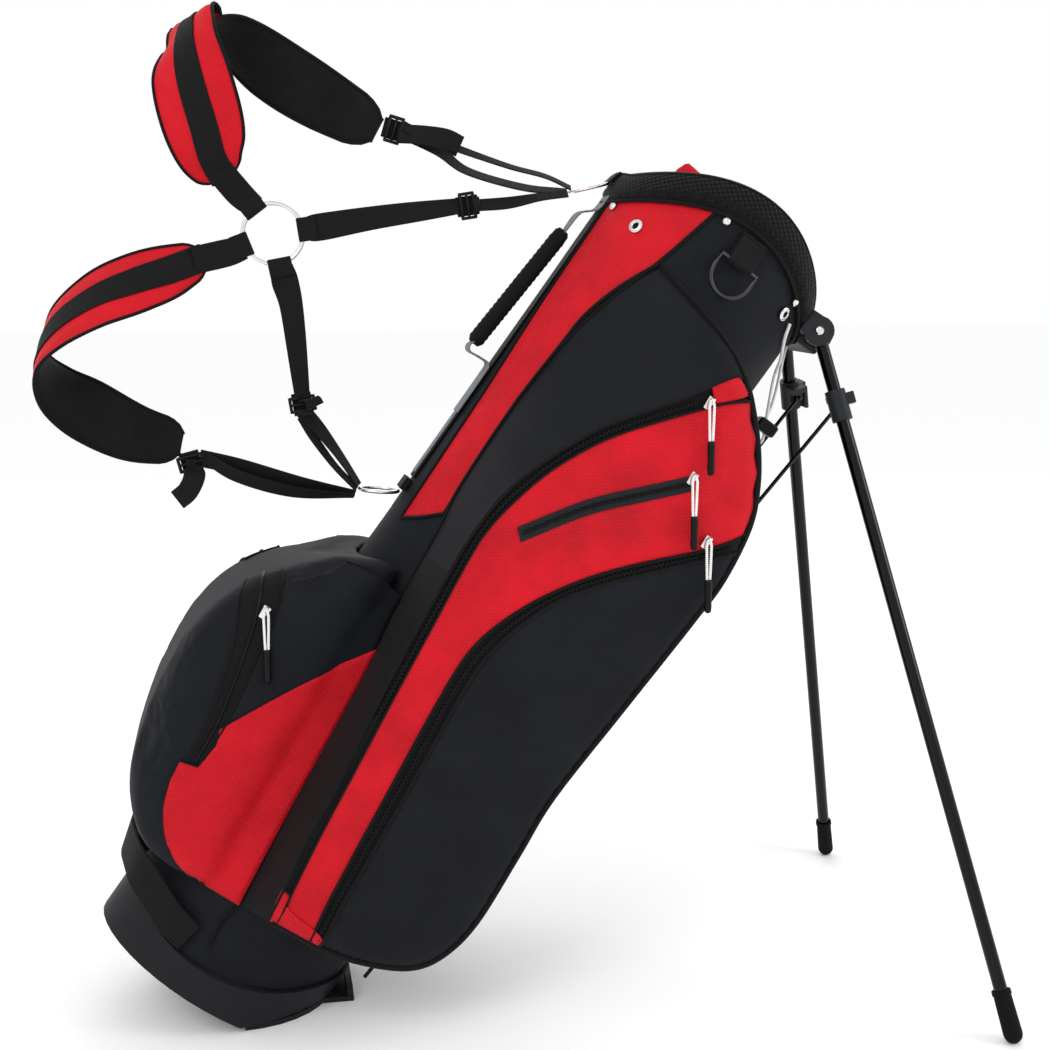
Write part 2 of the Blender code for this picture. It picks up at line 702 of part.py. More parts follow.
def make_zip(name, place, face):
    """A slider on a pocket face that looks along -y, and the cord pull that hangs from it."""
    x, z = place
    at = empty(name + "_frame", Matrix.Translation((x, -face, z)), BAG)
    half = 0.0045
    slider = box(name + "_slider", (-half, -0.0058 - SLIDER_LIFT, -half), (half, -SLIDER_LIFT, half))
    bevel(slider, 0.0010)
    finish(slider, STEEL, 0.3, at, 1.0)
    hang = Matrix.Translation((0, -0.0092, 0)) @ Matrix.Rotation(-LEAN, 4, "Y")
    pull_frame = empty(name + "_pull_hinge", hang, at)
    pull = box(name + "_pull", (-0.0030, -0.0016, -0.066), (0.0030, 0.0016, 0.002))
    bevel(pull, 0.0010)
    finish(pull, WHITE_CORD, 0.6, pull_frame)


def make_zips():
    make_zip("zip_upper", (-0.008, 0.728), POCKET_FACE)
    make_zip("zip_valuables", (0.020, 0.665), POCKET_FACE)
    make_zip("zip_apparel", (0.066, 0.626), POCKET_FACE)
    make_zip("zip_ball", (-0.218, 0.345), BALL_HALF)


# ---------------------------------------------------------------- harness

def make_harness():
    ring = tube(
        "harness_ring",
        [(RING_RADIUS * math.cos(a), 0, RING_RADIUS * math.sin(a))
         for a in (2 * math.pi * k / 28 for k in range(28))],
        RING_WIRE, 2, closed=True,
    )
    ring.location = (-0.400, 0.0, 0.626)
    finish(ring, STEEL, 0.2, BAG, 1.0)

    pads = {
        "shoulder_pad_upper": [
            ((-0.4640, -0.006, 0.6400), (-0.30, 0.0, -0.95), 0.034),
            ((-0.4830, -0.014, 0.6500), (-0.60, 0.0, -0.80), 0.058),
            ((-0.5030, -0.018, 0.6670), (-0.75, 0.0, -0.65), 0.070),
            ((-0.5360, -0.020, 0.6960), (-0.80, 0.35, -0.60), 0.072),
            ((-0.5570, -0.010, 0.7220), (-0.50, 0.80, -0.30), 0.068),
            ((-0.5620, 0.012, 0.7410), (-0.10, 1.00, -0.10), 0.064),
            ((-0.5320, 0.026, 0.7500), (0.10, 0.85, -0.60), 0.062),
            ((-0.4840, 0.026, 0.7500), (0.10, 0.40, -0.95), 0.060),
            ((-0.4370, 0.018, 0.7530), (0.15, 0.20, -1.00), 0.056),
            ((-0.3760, 0.008, 0.7600), (0.25, 0.10, -1.00), 0.042),
        ],
        "shoulder_pad_lower": [
            ((-0.4390, -0.006, 0.5710), (0.65, -0.10, -0.75), 0.028),
            ((-0.4560, -0.016, 0.5440), (0.65, -0.20, -0.60), 0.046),
            ((-0.4740, -0.024, 0.5180), (0.65, -0.40, -0.50), 0.056),
            ((-0.4940, -0.026, 0.4850), (0.60, -0.70, -0.40), 0.064),
            ((-0.5070, -0.024, 0.4460), (0.45, -0.90, -0.25), 0.066),
            ((-0.5030, -0.018, 0.4120), (0.10, -1.00, -0.20), 0.064),
            ((-0.4780, -0.012, 0.3970), (-0.20, -0.80, -0.55), 0.062),
            ((-0.4430, -0.006, 0.3960), (-0.40, -0.40, -0.80), 0.058),
            ((-0.4010, 0.000, 0.4010), (-0.45, -0.20, -0.80), 0.052),
            ((-0.3590, 0.000, 0.4180), (-0.50, -0.10, -0.80), 0.038),
        ],
    }
    for name, stations in pads.items():
        finish(ribbon(name, stations, PAD_THICKNESS, 2), RED_CLOTH, 0.8, BAG)

    straps = {
        "strap_ring_to_upper_pad": [
            ((-0.4325, -0.001, 0.6365), (0.30, 0, 0.95), WEB),
            ((-0.4450, -0.003, 0.6375), (0.20, 0, 0.95), WEB),
            ((-0.4575, -0.0045, 0.6385), (0.20, 0, 0.95), WEB),
        ],
        "strap_ring_to_lower_pad": [
            ((-0.4165, -0.001, 0.5950), (0.70, 0, -0.70), WEB),
            ((-0.4240, -0.003, 0.5870), (0.70, 0, -0.75), WEB),
            ((-0.4325, -0.005, 0.5790), (0.60, 0, -0.80), WEB),
        ],
        "strap_ring_to_right_buckle": [
            ((-0.3765, 0.0, 0.6490), (-0.70, 0, 0.70), WEB),
            ((-0.3300, 0.0, 0.6960), (-0.70, 0, 0.70), WEB * 0.85),
            ((-0.2800, 0.0, 0.7450), (-0.62, 0.50, 0.55), WEB * 0.7),
        ],
        "strap_ring_to_down_buckle": [
            ((-0.3735, 0.0, 0.6040), (0.60, 0, 0.75), WEB),
            ((-0.3450, 0.0, 0.5770), (0.65, 0, 0.70), WEB * 0.85),
            ((-0.2960, 0.0, 0.5230), (0.60, 0.50, 0.50), WEB * 0.7),
        ],
        "strap_upper_pad_to_top": [
            ((-0.3500, 0.008, 0.7780), (0, 0.3, 1), 0.018),
            ((-0.3200, 0.008, 0.7800), (0, 0.8, 0.8), 0.018),
            ((-0.2870, 0.008, 0.7805), (0, 0.9, 0.5), 0.018),
            ((-0.2350, 0.006, 0.8000), (-0.1, 0.9, 0.4), 0.018),
            ((-0.2010, 0.005, 0.8200), (-0.1, 0.9, 0.4), 0.014),
        ],
        "strap_right_buckle_to_top": [
            ((-0.2590, -0.004, 0.7620), (-0.4, 0.7, 0.6), 0.016),
            ((-0.2400, -0.006, 0.7780), (-0.4, 0.7, 0.6), 0.016),
            ((-0.2190, -0.009, 0.8000), (-0.4, 0.9, 0.4), 0.014),
            ((-0.2020, -0.011, 0.8150), (-0.4, 0.9, 0.4), 0.012),
        ],
        "strap_down_buckle_to_middle": [
            ((-0.2800, 0.004, 0.5030), (0.4, 0.6, 0.6), 0.018),
            ((-0.2600, 0.008, 0.5010), (0.4, 0.8, 0.6), 0.018),
            ((-0.2280, 0.008, 0.4900), (0.3, 0.9, 0.4), 0.016),
            ((-0.2030, 0.006, 0.4780), (0.1, 0.9, 0.4), 0.014),
        ],
        "strap_lower_pad_to_middle": [
            ((-0.3330, -0.004, 0.4240), (-0.2, -0.3, 0.9), 0.018),
            ((-0.3030, -0.008, 0.4310), (-0.3, -0.4, 0.8), 0.018),
            ((-0.2500, -0.010, 0.4490), (-0.4, -0.6, 0.8), 0.018),
            ((-0.2040, -0.010, 0.4700), (-0.2, -0.8, 0.3), 0.014),
        ],
    }
    for name, stations in straps.items():
        finish(ribbon(name, stations, WEB_THICKNESS, 2), BLACK_CLOTH, 0.8, BAG)

    buckles = {
        "buckle_upper_pad": ((-0.3640, 0.008, 0.7700), 20),
        "buckle_right": ((-0.2690, -0.002, 0.7535), 45),
        "buckle_down": ((-0.2885, 0.002, 0.5120), -45),
        "buckle_lower_pad": ((-0.3420, -0.003, 0.4080), -40),
    }
    for name, (place, turn) in buckles.items():
        made = box(name, (-0.0060, -0.0030, -0.0125), (0.0060, 0.0030, 0.0125))
        bevel(made, 0.0020)
        made.matrix_local = Matrix.Translation(place) @ Matrix.Rotation(math.radians(-turn), 4, "Y")
        finish(made, GLOSS_BLACK, 0.45, BAG)

    edge = BODY_X - HALF_X
    rings = {
        "attach_ring_top": ((-0.1845, 0.0, 0.8365), 49),
        "attach_ring_middle": ((-0.1825, 0.0, 0.4860), 31),
    }
    for name, (place, turn) in rings.items():
        half_long, half_wide = 0.0185, 0.0150
        points = [(half_long * math.cos(a), half_wide * math.sin(a), 0)
                  for a in (2 * math.pi * k / 24 for k in range(24))]
        made = tube(name, points, 0.0018, 2, closed=True)
        made.matrix_local = Matrix.Translation(place) @ Matrix.Rotation(math.radians(-turn), 4, "Y")
        finish(made, STEEL, 0.2, BAG, 1.0)
    tabs = {
        "attach_tab_top": (edge - CUFF_THICKNESS - 0.0007, 0.8550, 0.8670),
        "attach_tab_middle": (edge - GAP, 0.4990, 0.5120),
    }
    for name, (face, low, high) in tabs.items():
        made = box(name, (face - 0.0060, -0.0115, low), (face, 0.0115, high))
        finish(made, BLACK_CLOTH, 0.8, BAG)


def main():
    make_body()
    make_dividers()
    make_stays()
    make_base()
    make_pockets()
    make_handle()
    make_towel_ring()
    make_stand()
    make_cord()
    make_zips()
    make_harness()


main()
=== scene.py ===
# %% [markdown]
# # A golf stand bag, dressed round its working frame
#
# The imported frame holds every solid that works: tube, pockets, legs, rods, rings, zip sliders.
# This lesson sews the bag over it. The bag leans, and it is far easier to draw upright, so every
# piece is modelled in the bag's own directions: `a` from the spine, where the handle is, to the
# legs; `y` across, with the near side at minus y; and `u` up the bag. One matrix leans the work.

# %%
import math

import bmesh
import bpy
import numpy as np
from mathutils import Matrix, Vector, noise
from mathutils.bvhtree import BVHTree


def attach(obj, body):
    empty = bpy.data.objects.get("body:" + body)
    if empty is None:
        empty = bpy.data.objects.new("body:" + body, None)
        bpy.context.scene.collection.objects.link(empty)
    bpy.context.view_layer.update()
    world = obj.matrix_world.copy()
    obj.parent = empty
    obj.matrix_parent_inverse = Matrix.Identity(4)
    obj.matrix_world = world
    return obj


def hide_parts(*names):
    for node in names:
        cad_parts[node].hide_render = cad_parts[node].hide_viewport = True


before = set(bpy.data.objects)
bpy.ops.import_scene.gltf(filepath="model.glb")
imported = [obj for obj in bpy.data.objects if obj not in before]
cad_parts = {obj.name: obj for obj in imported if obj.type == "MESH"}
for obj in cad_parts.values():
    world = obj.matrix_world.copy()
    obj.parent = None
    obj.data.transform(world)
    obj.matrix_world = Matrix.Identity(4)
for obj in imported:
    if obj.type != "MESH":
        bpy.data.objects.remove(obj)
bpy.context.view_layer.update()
ROOT = "bag"

# %% [markdown]
# The lean and the oval of the tube are the frame's own driving sizes. Points of the design are
# written as (a, y, u), and the matrix `BAG` turns them into the frame's metres.

# %% The bag's own directions
LEAN = math.radians(36.0)
FLOOR_CENTRE = 0.040
BAG = Matrix.Translation((-FLOOR_CENTRE, 0, 0)) @ Matrix.Rotation(LEAN, 4, "Y")
INTO_BAG = BAG.inverted()
BODY_A = -0.050                      # centre line of the tube
HALF_A, HALF_Y = 0.113, 0.092        # half its depth and half its width


def share(a):
    return max(-1.0, min(1.0, (a - BODY_A) / HALF_A))


def seam_height(a):
    """Lower seam of the padded cuff, arched over the flanks."""
    t = share(a)
    return 0.839 + 0.048 * (1 - t * t)


def rim_height(a):
    t = share(a)
    return 0.865 - 0.002 * t + 0.048 * (1 - t * t)


def boot_height(a):
    t = share(a)
    return 0.032 + 0.015 * t + 0.031 * t * t


def on_tube(angle, u, lift=0.0):
    """A point on the tube: angle in degrees from the spine, past 90 at the near flank, 180 at the legs."""
    turn = math.radians(angle)
    return Vector((BODY_A - (HALF_A + lift) * math.cos(turn), -(HALF_Y + lift) * math.sin(turn), u))


def tube_reach(a, lift=0.0):
    """How far the tube stands out sideways at that a."""
    t = (a - BODY_A) / (HALF_A + lift)
    return (HALF_Y + lift) * math.sqrt(max(0.0, 1 - t * t))


print("mouth", round(2 * HALF_A, 3), "x", round(2 * HALF_Y, 3), "m, leaning", round(math.degrees(LEAN)),
      "degrees")

# %% [markdown]
# ## Camera, light and floor
#
# A long-ish lens stands a metre and a half away, a little to the spine side and a little above.
# The light is one bright, even room with two large soft panels, so that black cloth still shows
# its folds, and the floor is a pale sweep with no edge.

# %% Camera
scene = bpy.context.scene
camera_data = bpy.data.cameras.new("camera")
camera_data.lens = 53.6
camera_data.sensor_width = 36.0
camera = bpy.data.objects.new("camera", camera_data)
scene.collection.objects.link(camera)
camera.location = (-0.0343, -1.4835, 0.7208)
aim = Vector((0.240, 0.0, 0.4617))
camera.rotation_mode = "QUATERNION"
camera.rotation_quaternion = (aim - camera.location).to_track_quat("-Z", "Y")
scene.camera = camera
scene.view_settings.view_transform = "Standard"
print("camera", round((aim - camera.location).length, 2), "m from the bag")

# %% Lights
world = bpy.data.worlds.new("room")
world.use_nodes = True
world.node_tree.nodes["Background"].inputs["Color"].default_value = (1.0, 1.0, 1.0, 1.0)
world.node_tree.nodes["Background"].inputs["Strength"].default_value = 1.0
scene.world = world


def panel_light(name, place, size, power):
    data = bpy.data.lights.new(name, "AREA")
    data.shape = "SQUARE"
    data.size = size
    data.energy = power
    light = bpy.data.objects.new(name, data)
    scene.collection.objects.link(light)
    light.location = place
    light.rotation_mode = "QUATERNION"
    light.rotation_quaternion = (Vector((0.25, 0, 0.45)) - Vector(place)).to_track_quat("-Z", "Y")


panel_light("key_panel", (-1.3, -2.0, 2.3), 1.3, 24)
panel_light("side_panel", (2.6, -1.2, 1.3), 0.9, 16)
panel_light("back_panel", (0.6, 2.4, 2.0), 1.6, 14)
print("three soft panels and a white room")

# %% Floor
bm = bmesh.new()
bmesh.ops.create_grid(bm, x_segments=2, y_segments=2, size=14.0)
floor_mesh = bpy.data.meshes.new("floor")
bm.to_mesh(floor_mesh)
bm.free()
floor = bpy.data.objects.new("floor", floor_mesh)
scene.collection.objects.link(floor)
floor_paint = bpy.data.materials.new("pale_floor")
floor_paint.use_nodes = True
floor_paint.node_tree.nodes["Principled BSDF"].inputs["Base Color"].default_value = (0.97, 0.97, 0.97, 1)
floor_paint.node_tree.nodes["Principled BSDF"].inputs["Roughness"].default_value = 0.9
floor.data.materials.append(floor_paint)
print("floor at z = 0")

# %% [markdown]
# ## Finishes
#
# Every finish is worked out from the piece itself. Sewn pieces carry an attribute called `cloth`:
# metres across and metres along the fabric, so a weave follows the panel as it bends. Hard pieces
# use plain object coordinates. Small helpers keep the node building short.

# %% Node helpers
def add(tree, kind, settings=None, **sockets):
    """One node. Sockets take a number, a colour or another node's output."""
    made = tree.nodes.new("ShaderNode" + kind)
    for key, value in (settings or {}).items():
        setattr(made, key, value)
    for key, value in sockets.items():
        found = made.inputs[int(key[1:])] if key[0] == "i" and key[1:].isdigit() else made.inputs[key]
        if isinstance(value, bpy.types.NodeSocket):
            tree.links.new(value, found)
        else:
            found.default_value = value
    return made


def new_finish(name, colour, roughness, metallic=0.0, sheen=0.0, specular=0.15):
    made = bpy.data.materials.new(name)
    made.use_nodes = True
    shader = made.node_tree.nodes["Principled BSDF"]
    shader.inputs["Base Color"].default_value = (*colour, 1.0)
    shader.inputs["Roughness"].default_value = roughness
    shader.inputs["Metallic"].default_value = metallic
    shader.inputs["Sheen Weight"].default_value = sheen
    shader.inputs["Sheen Roughness"].default_value = 0.5
    shader.inputs["Specular IOR Level"].default_value = 0.5 if metallic else specular
    return made, made.node_tree, shader


def waves(tree, vector, across, along):
    """Smooth ups and downs at those two pitches: the product of two sines, staggered like a twill."""
    turn = 2 * math.pi
    scaled = add(tree, "VectorMath", {"operation": "MULTIPLY"}, i0=vector,
                 i1=(turn / across, turn / along, 0))
    parts = add(tree, "SeparateXYZ", i0=scaled.outputs[0])
    first = add(tree, "Math", {"operation": "SINE"}, i0=parts.outputs[0])
    second = add(tree, "Math", {"operation": "SINE"}, i0=parts.outputs[1])
    return add(tree, "Math", {"operation": "MULTIPLY"}, i0=first.outputs[0], i1=second.outputs[0]).outputs[0]


def tint(tree, shader, factor, low, high):
    """The base colour runs from one colour to the other as the factor runs from 0 to 1."""
    mix = add(tree, "Mix", {"data_type": "RGBA"}, i0=factor, i6=(*low, 1), i7=(*high, 1))
    tree.links.new(mix.outputs[2], shader.inputs["Base Color"])


def raise_surface(tree, shader, height, strength, distance):
    bump = add(tree, "Bump", Strength=strength, Distance=distance, Height=height)
    tree.links.new(bump.outputs[0], shader.inputs["Normal"])


def ramp(tree, value, low, high):
    """Stretches the values between low and high over 0 to 1."""
    return add(tree, "MapRange", i0=value, i1=low, i2=high).outputs[0]


print("node helpers ready")


# %% [markdown]
# The black panels are a fine plain-woven polyester: nearly flat, slightly blue, with a slow noise
# that makes the cloth lighter and darker in soft patches. The red panels are a dobby weave whose
# raised pip pattern is bumped and also painted lighter: a painted highlight where it catches the
# light. Both use two sines for the threads and a slow noise for the soft patches.

# %% Woven cloth
def woven(name, dark, light, pitch, roughness, depth, pip=0.0, sheen=0.25):
    """Cloth: a thread pattern at that pitch, and with pip a second, coarser pattern of raised pip bumps that
    also lighten the colour, a painted highlight.
    """
    made, tree, shader = new_finish(name, light, roughness, sheen=sheen)
    cloth = add(tree, "Attribute", {"attribute_name": "cloth"}).outputs["Vector"]
    threads = ramp(tree, waves(tree, cloth, pitch, pitch), -1.0, 1.0)
    cloud = add(tree, "TexNoise", Vector=cloth, Scale=14.0, Detail=5.0, Roughness=0.6).outputs[0]
    height = threads
    factor = add(tree, "Math", {"operation": "MULTIPLY_ADD"}, i0=threads, i1=0.35,
                 i2=ramp(tree, cloud, 0.32, 0.85))
    factor = factor.outputs[0]
    if pip:
        pip_height_and_highlight = ramp(tree, waves(tree, cloth, pip, pip * 0.72), 0.15, 0.9)
        height = add(tree, "Math", {"operation": "MULTIPLY_ADD"}, i0=pip_height_and_highlight, i1=2.0, i2=threads).outputs[0]
        # The pip pattern also lightens the base colour: a painted highlight on the raised pip bumps.
        factor = add(tree, "Math", {"operation": "MULTIPLY_ADD"}, i0=pip_height_and_highlight, i1=0.45, i2=factor).outputs[0]
    tint(tree, shader, add(tree, "Clamp", i0=factor).outputs[0], dark, light)
    raise_surface(tree, shader, height, depth, 0.0004)
    return made


BLACK = woven("black_polyester", (0.0020, 0.0024, 0.0040), (0.0062, 0.0072, 0.0115), 0.0014, 0.66, 0.35,
              sheen=0.02)
RED = woven("red_dobby", (0.34, 0.002, 0.007), (0.62, 0.004, 0.014), 0.0012, 0.58, 0.45, pip=0.0052,
            sheen=0.03)
LINING = woven("black_lining", (0.0016, 0.0016, 0.0018), (0.0048, 0.0048, 0.0056), 0.0010, 0.75, 0.3,
               sheen=0.02)
PAD_RED = woven("red_pad_cloth", (0.38, 0.002, 0.007), (0.62, 0.004, 0.014), 0.0010, 0.58, 0.3, pip=0.0034,
                sheen=0.03)
PAD_BLACK = woven("black_pad_mesh", (0.0015, 0.0015, 0.0017), (0.0065, 0.0065, 0.0072), 0.0022, 0.85, 0.6,
                  sheen=0.03)
print("cloth finishes:", BLACK.name, RED.name, LINING.name, PAD_RED.name, PAD_BLACK.name)


# %% [markdown]
# Spacer mesh has rows of open holes; webbing has ribs across it and a firm selvedge; bound edges
# and piping are tightly woven tape. All three are the same idea at different pitches.

# %% Mesh, webbing and tape
def spacer_mesh():
    made, tree, shader = new_finish("spacer_mesh", (0.014, 0.014, 0.015), 0.75, sheen=0.05)
    cloth = add(tree, "Attribute", {"attribute_name": "cloth"}).outputs["Vector"]
    holes = ramp(tree, waves(tree, cloth, 0.0058, 0.0050), -0.25, 0.45)
    tint(tree, shader, holes, (0.0002, 0.0002, 0.0003), (0.0080, 0.0082, 0.0088))
    raise_surface(tree, shader, holes, 0.9, 0.0012)
    return made


def ribbed(name, dark, light, rib, roughness):
    made, tree, shader = new_finish(name, light, roughness, sheen=0.03)
    cloth = add(tree, "Attribute", {"attribute_name": "cloth"}).outputs["Vector"]
    parts = add(tree, "SeparateXYZ", i0=cloth)
    slant = add(tree, "Math", {"operation": "ABSOLUTE"}, i0=parts.outputs[0])
    slant = add(tree, "Math", {"operation": "MULTIPLY_ADD"}, i0=slant.outputs[0], i1=0.5, i2=parts.outputs[1])
    phase = add(tree, "Math", {"operation": "MULTIPLY"}, i0=slant.outputs[0], i1=2 * math.pi / rib)
    ribs = add(tree, "Math", {"operation": "SINE"}, i0=phase.outputs[0])
    ribs = ramp(tree, ribs.outputs[0], -1.0, 1.0)
    tint(tree, shader, ribs, dark, light)
    raise_surface(tree, shader, ribs, 0.6, 0.0005)
    return made


MESH = spacer_mesh()
WEBBING = ribbed("black_webbing", (0.0018, 0.0018, 0.0022), (0.0070, 0.0070, 0.0080), 0.0016, 0.75)
TAPE = ribbed("black_binding_tape", (0.0012, 0.0012, 0.0014), (0.0042, 0.0042, 0.0048), 0.0010, 0.7)
GREY_TAPE = ribbed("grey_webbing", (0.10, 0.11, 0.12), (0.24, 0.25, 0.27), 0.0016, 0.7)
WELDED = ribbed("welded_zip_tape", (0.006, 0.007, 0.009), (0.012, 0.013, 0.016), 0.0030, 0.45)
CORD = ribbed("white_cord", (0.62, 0.62, 0.61), (0.90, 0.90, 0.89), 0.0018, 0.6)
RED_THREAD = new_finish("red_thread", (0.55, 0.01, 0.02), 0.55)[0]
print("mesh, webbing, tape and cord finishes ready")


# %% [markdown]
# Moulded parts have a fine spark-eroded grain and slight polish where hands and floor rub them.
# The leg tubes are gloss black paint over a drawn tube, so their grain is long and very faint.
# Rings and rivets are bright nickel with small scratches.

# %% Hard finishes
def moulded(name, colour, roughness, grain=900.0, depth=0.25):
    made, tree, shader = new_finish(name, colour, roughness)
    place = add(tree, "TexCoord").outputs["Object"]
    fine = add(tree, "TexNoise", Vector=place, Scale=grain, Detail=2.0).outputs[0]
    slow = add(tree, "TexNoise", Vector=place, Scale=9.0, Detail=4.0).outputs[0]
    tint(tree, shader, slow, tuple(c * 0.75 for c in colour), tuple(c * 1.3 for c in colour))
    rough = add(tree, "MapRange", i0=slow, i3=roughness - 0.08, i4=roughness + 0.10).outputs[0]
    tree.links.new(rough, shader.inputs["Roughness"])
    raise_surface(tree, shader, fine, depth, 0.0002)
    return made


def metal(name, colour, roughness, metallic=1.0, coat=0.0):
    made, tree, shader = new_finish(name, colour, roughness, metallic)
    shader.inputs["Specular IOR Level"].default_value = 0.5 if metallic else 0.16
    shader.inputs["Coat Weight"].default_value = coat
    shader.inputs["Coat Roughness"].default_value = 0.08
    place = add(tree, "TexCoord").outputs["Object"]
    stretched = add(tree, "Mapping", i0=place, i3=(260.0, 260.0, 60.0)).outputs[0]
    marks = add(tree, "TexNoise", Vector=stretched, Scale=3.0, Detail=4.0).outputs[0]
    rough = add(tree, "MapRange", i0=marks, i3=max(0.03, roughness - 0.07), i4=roughness + 0.10).outputs[0]
    tree.links.new(rough, shader.inputs["Roughness"])
    raise_surface(tree, shader, marks, 0.05, 0.0001)
    return made


PLASTIC = moulded("moulded_black", (0.008, 0.0085, 0.010), 0.48)
SOFT_PLASTIC = moulded("base_black", (0.0085, 0.0090, 0.0110), 0.52, 700.0)
GREY_PLASTIC = moulded("joint_grey", (0.016, 0.017, 0.020), 0.42)
BUCKLE = moulded("buckle_black", (0.0035, 0.0035, 0.0040), 0.34, 500.0, 0.1)
RUBBER = moulded("tip_rubber", (0.0035, 0.0035, 0.0035), 0.85, 400.0, 0.4)
LEG_PAINT = metal("leg_gloss_black", (0.0010, 0.0010, 0.0013), 0.16, 0.0, coat=0.12)
NICKEL = metal("bright_nickel", (0.72, 0.71, 0.69), 0.20)
DARK_STEEL = metal("dark_steel", (0.055, 0.056, 0.060), 0.38)
print("hard finishes ready")

# %% [markdown]
# ## Sewing helpers
#
# Almost everything on a bag is one of three things: a panel cut to four edges, a strip carried
# along a route, or a hoop carried up the tube. Each gets one helper, and each keeps the cloth
# coordinates as it goes, so that weaves and ribs follow the piece.

# %% Routes
def smooth_route(points, steps=6, closed=False):
    """The smooth curve through given points (Catmull-Rom)."""
    points = [Vector(p) for p in points]
    if closed:
        ends = [points[-1], *points, points[0], points[1]]
    else:
        ends = [2 * points[0] - points[1], *points, 2 * points[-1] - points[-2]]
    route = []
    for i in range(1, len(ends) - 2):
        a, b, c, d = ends[i - 1:i + 3]
        for k in range(steps):
            t = k / steps
            route.append(0.5 * (2 * b + (c - a) * t + (2 * a - 5 * b + 4 * c - d) * t ** 2
                                + (3 * b - a - 3 * c + d) * t ** 3))
    if not closed:
        route.append(points[-1])
    return route


def evenly(points, count):
    """That many points spaced evenly along a route."""
    points = np.array([tuple(p) for p in points], float)
    run = np.concatenate([[0], np.cumsum(np.linalg.norm(np.diff(points, axis=0), axis=1))])
    at = np.linspace(0, run[-1], count)
    return [Vector([float(np.interp(t, run, points[:, k])) for k in range(points.shape[1])]) for t in at]


def curve(points, count=60):
    return evenly(smooth_route(points), count)


print("routes ready")


# %% Making a piece
def make(name, bm, finish, slot, body=ROOT, replaces=(), sharp=38, place=BAG):
    """A finished bmesh in the bag's directions becomes a piece that rides on its body."""
    bm.transform(place)
    data = bpy.data.meshes.new(name)
    bm.to_mesh(data)
    bm.free()
    piece = bpy.data.objects.new(name, data)
    scene.collection.objects.link(piece)
    for one in finish if isinstance(finish, (list, tuple)) else [finish]:
        data.materials.append(one)
    data.shade_smooth()
    data.set_sharp_from_angle(angle=math.radians(sharp))
    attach(piece, body)
    if replaces:
        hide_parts(*replaces)
    return piece


def thicken(piece, thickness, offset=-1.0):
    step = piece.modifiers.new("thickness", "SOLIDIFY")
    step.thickness = thickness
    step.offset = offset
    return piece


def soften(piece, width, segments=2):
    step = piece.modifiers.new("edges", "BEVEL")
    step.width = width
    step.segments = segments
    step.limit_method = "ANGLE"
    step.angle_limit = math.radians(35)
    return piece


print("pieces can be made")


# %% A panel with four edges
def four_edges(left, right, top, bottom, columns, rows):
    """Points inside four boundary routes, blended from all four (a Coons patch)."""
    left, right = evenly(left, rows + 1), evenly(right, rows + 1)
    top = evenly(top or [left[0], right[0]], columns + 1)
    bottom = evenly(bottom or [left[-1], right[-1]], columns + 1)
    grid = {}
    for i in range(rows + 1):
        t = i / rows
        for j in range(columns + 1):
            s = j / columns
            corners = ((1 - t) * ((1 - s) * left[0] + s * right[0]) + t * ((1 - s) * left[-1] + s * right[-1]))
            grid[i, j] = (1 - s) * left[i] + s * right[i] + (1 - t) * top[j] + t * bottom[j] - corners
    return grid


def panel(name, edges, surface, finish, slot, lift=0.0006, thickness=0.0009, columns=24, rows=60, **more):
    """A cut of cloth laid on a surface: left, right, top and bottom edges, drawn on that surface."""
    left, right, top, bottom = edges
    grid = four_edges(left, right, top, bottom, columns, rows)
    bm = bmesh.new()
    cloth = bm.verts.layers.float_vector.new("cloth")
    bmesh.ops.create_grid(bm, x_segments=columns, y_segments=rows, size=1.0)
    for vert in bm.verts:
        j = round((vert.co.x + 1) / 2 * columns)
        i = round((1 - vert.co.y) / 2 * rows)
        flat = grid[i, j]
        vert[cloth] = (flat[0], flat[1], 0.0)
        vert.co = surface(flat, lift)
    bm.normal_update()
    middle = sum((f.normal for f in bm.faces), Vector())
    centre = sum((v.co for v in bm.verts), Vector()) / len(bm.verts)
    if middle.dot(centre - Vector((BODY_A, 0, centre.z))) < 0:
        bmesh.ops.reverse_faces(bm, faces=bm.faces)
    return thicken(make(name, bm, finish, slot, **more), thickness)


print("panels ready")


# %% A strip along a route
def frames_along(route, across):
    """Each point with its width direction and the direction it faces."""
    found = []
    for k, place in enumerate(route):
        ahead = (route[min(k + 1, len(route) - 1)] - route[max(k - 1, 0)]).normalized()
        side = across[k] - ahead * across[k].dot(ahead)
        side.normalize()
        found.append((place, side, side.cross(ahead)))
    return found


def carry(bm, rings, closed_section=True, closed_route=False):
    """Extrudes a ring of points from place to place, and joins the last to the first on a closed route."""
    cloth = bm.verts.layers.float_vector.get("cloth") or bm.verts.layers.float_vector.new("cloth")
    first = [bm.verts.new(place) for place, _ in rings[0]]
    pairs = list(zip(first, first[1:])) + ([(first[-1], first[0])] if closed_section else [])
    edges = [bm.edges.new(pair) for pair in pairs]
    ring = first
    for vert, (_, flat) in zip(ring, rings[0]):
        vert[cloth] = flat
    for places in rings[1:]:
        made = bmesh.ops.extrude_edge_only(bm, edges=edges)["geom"]
        fresh = {g for g in made if isinstance(g, bmesh.types.BMVert)}
        after = []
        for vert in ring:
            after.append(next(e.other_vert(vert) for e in vert.link_edges if e.other_vert(vert) in fresh))
        for vert, (place, flat) in zip(after, places):
            vert.co = place
            vert[cloth] = flat
        ring = after
        pairs = list(zip(ring, ring[1:])) + ([(ring[-1], ring[0])] if closed_section else [])
        edges = [bm.edges.get(pair) for pair in pairs]
    if closed_route:
        start = [bm.edges.get(p) for p in zip(first, first[1:] + first[:1])]
        bmesh.ops.bridge_loops(bm, edges=edges + start)
    return first, ring


def cap(bm, ring):
    bm.faces.new(ring)


def tidy_shell(bm):
    bmesh.ops.recalc_face_normals(bm, faces=bm.faces)


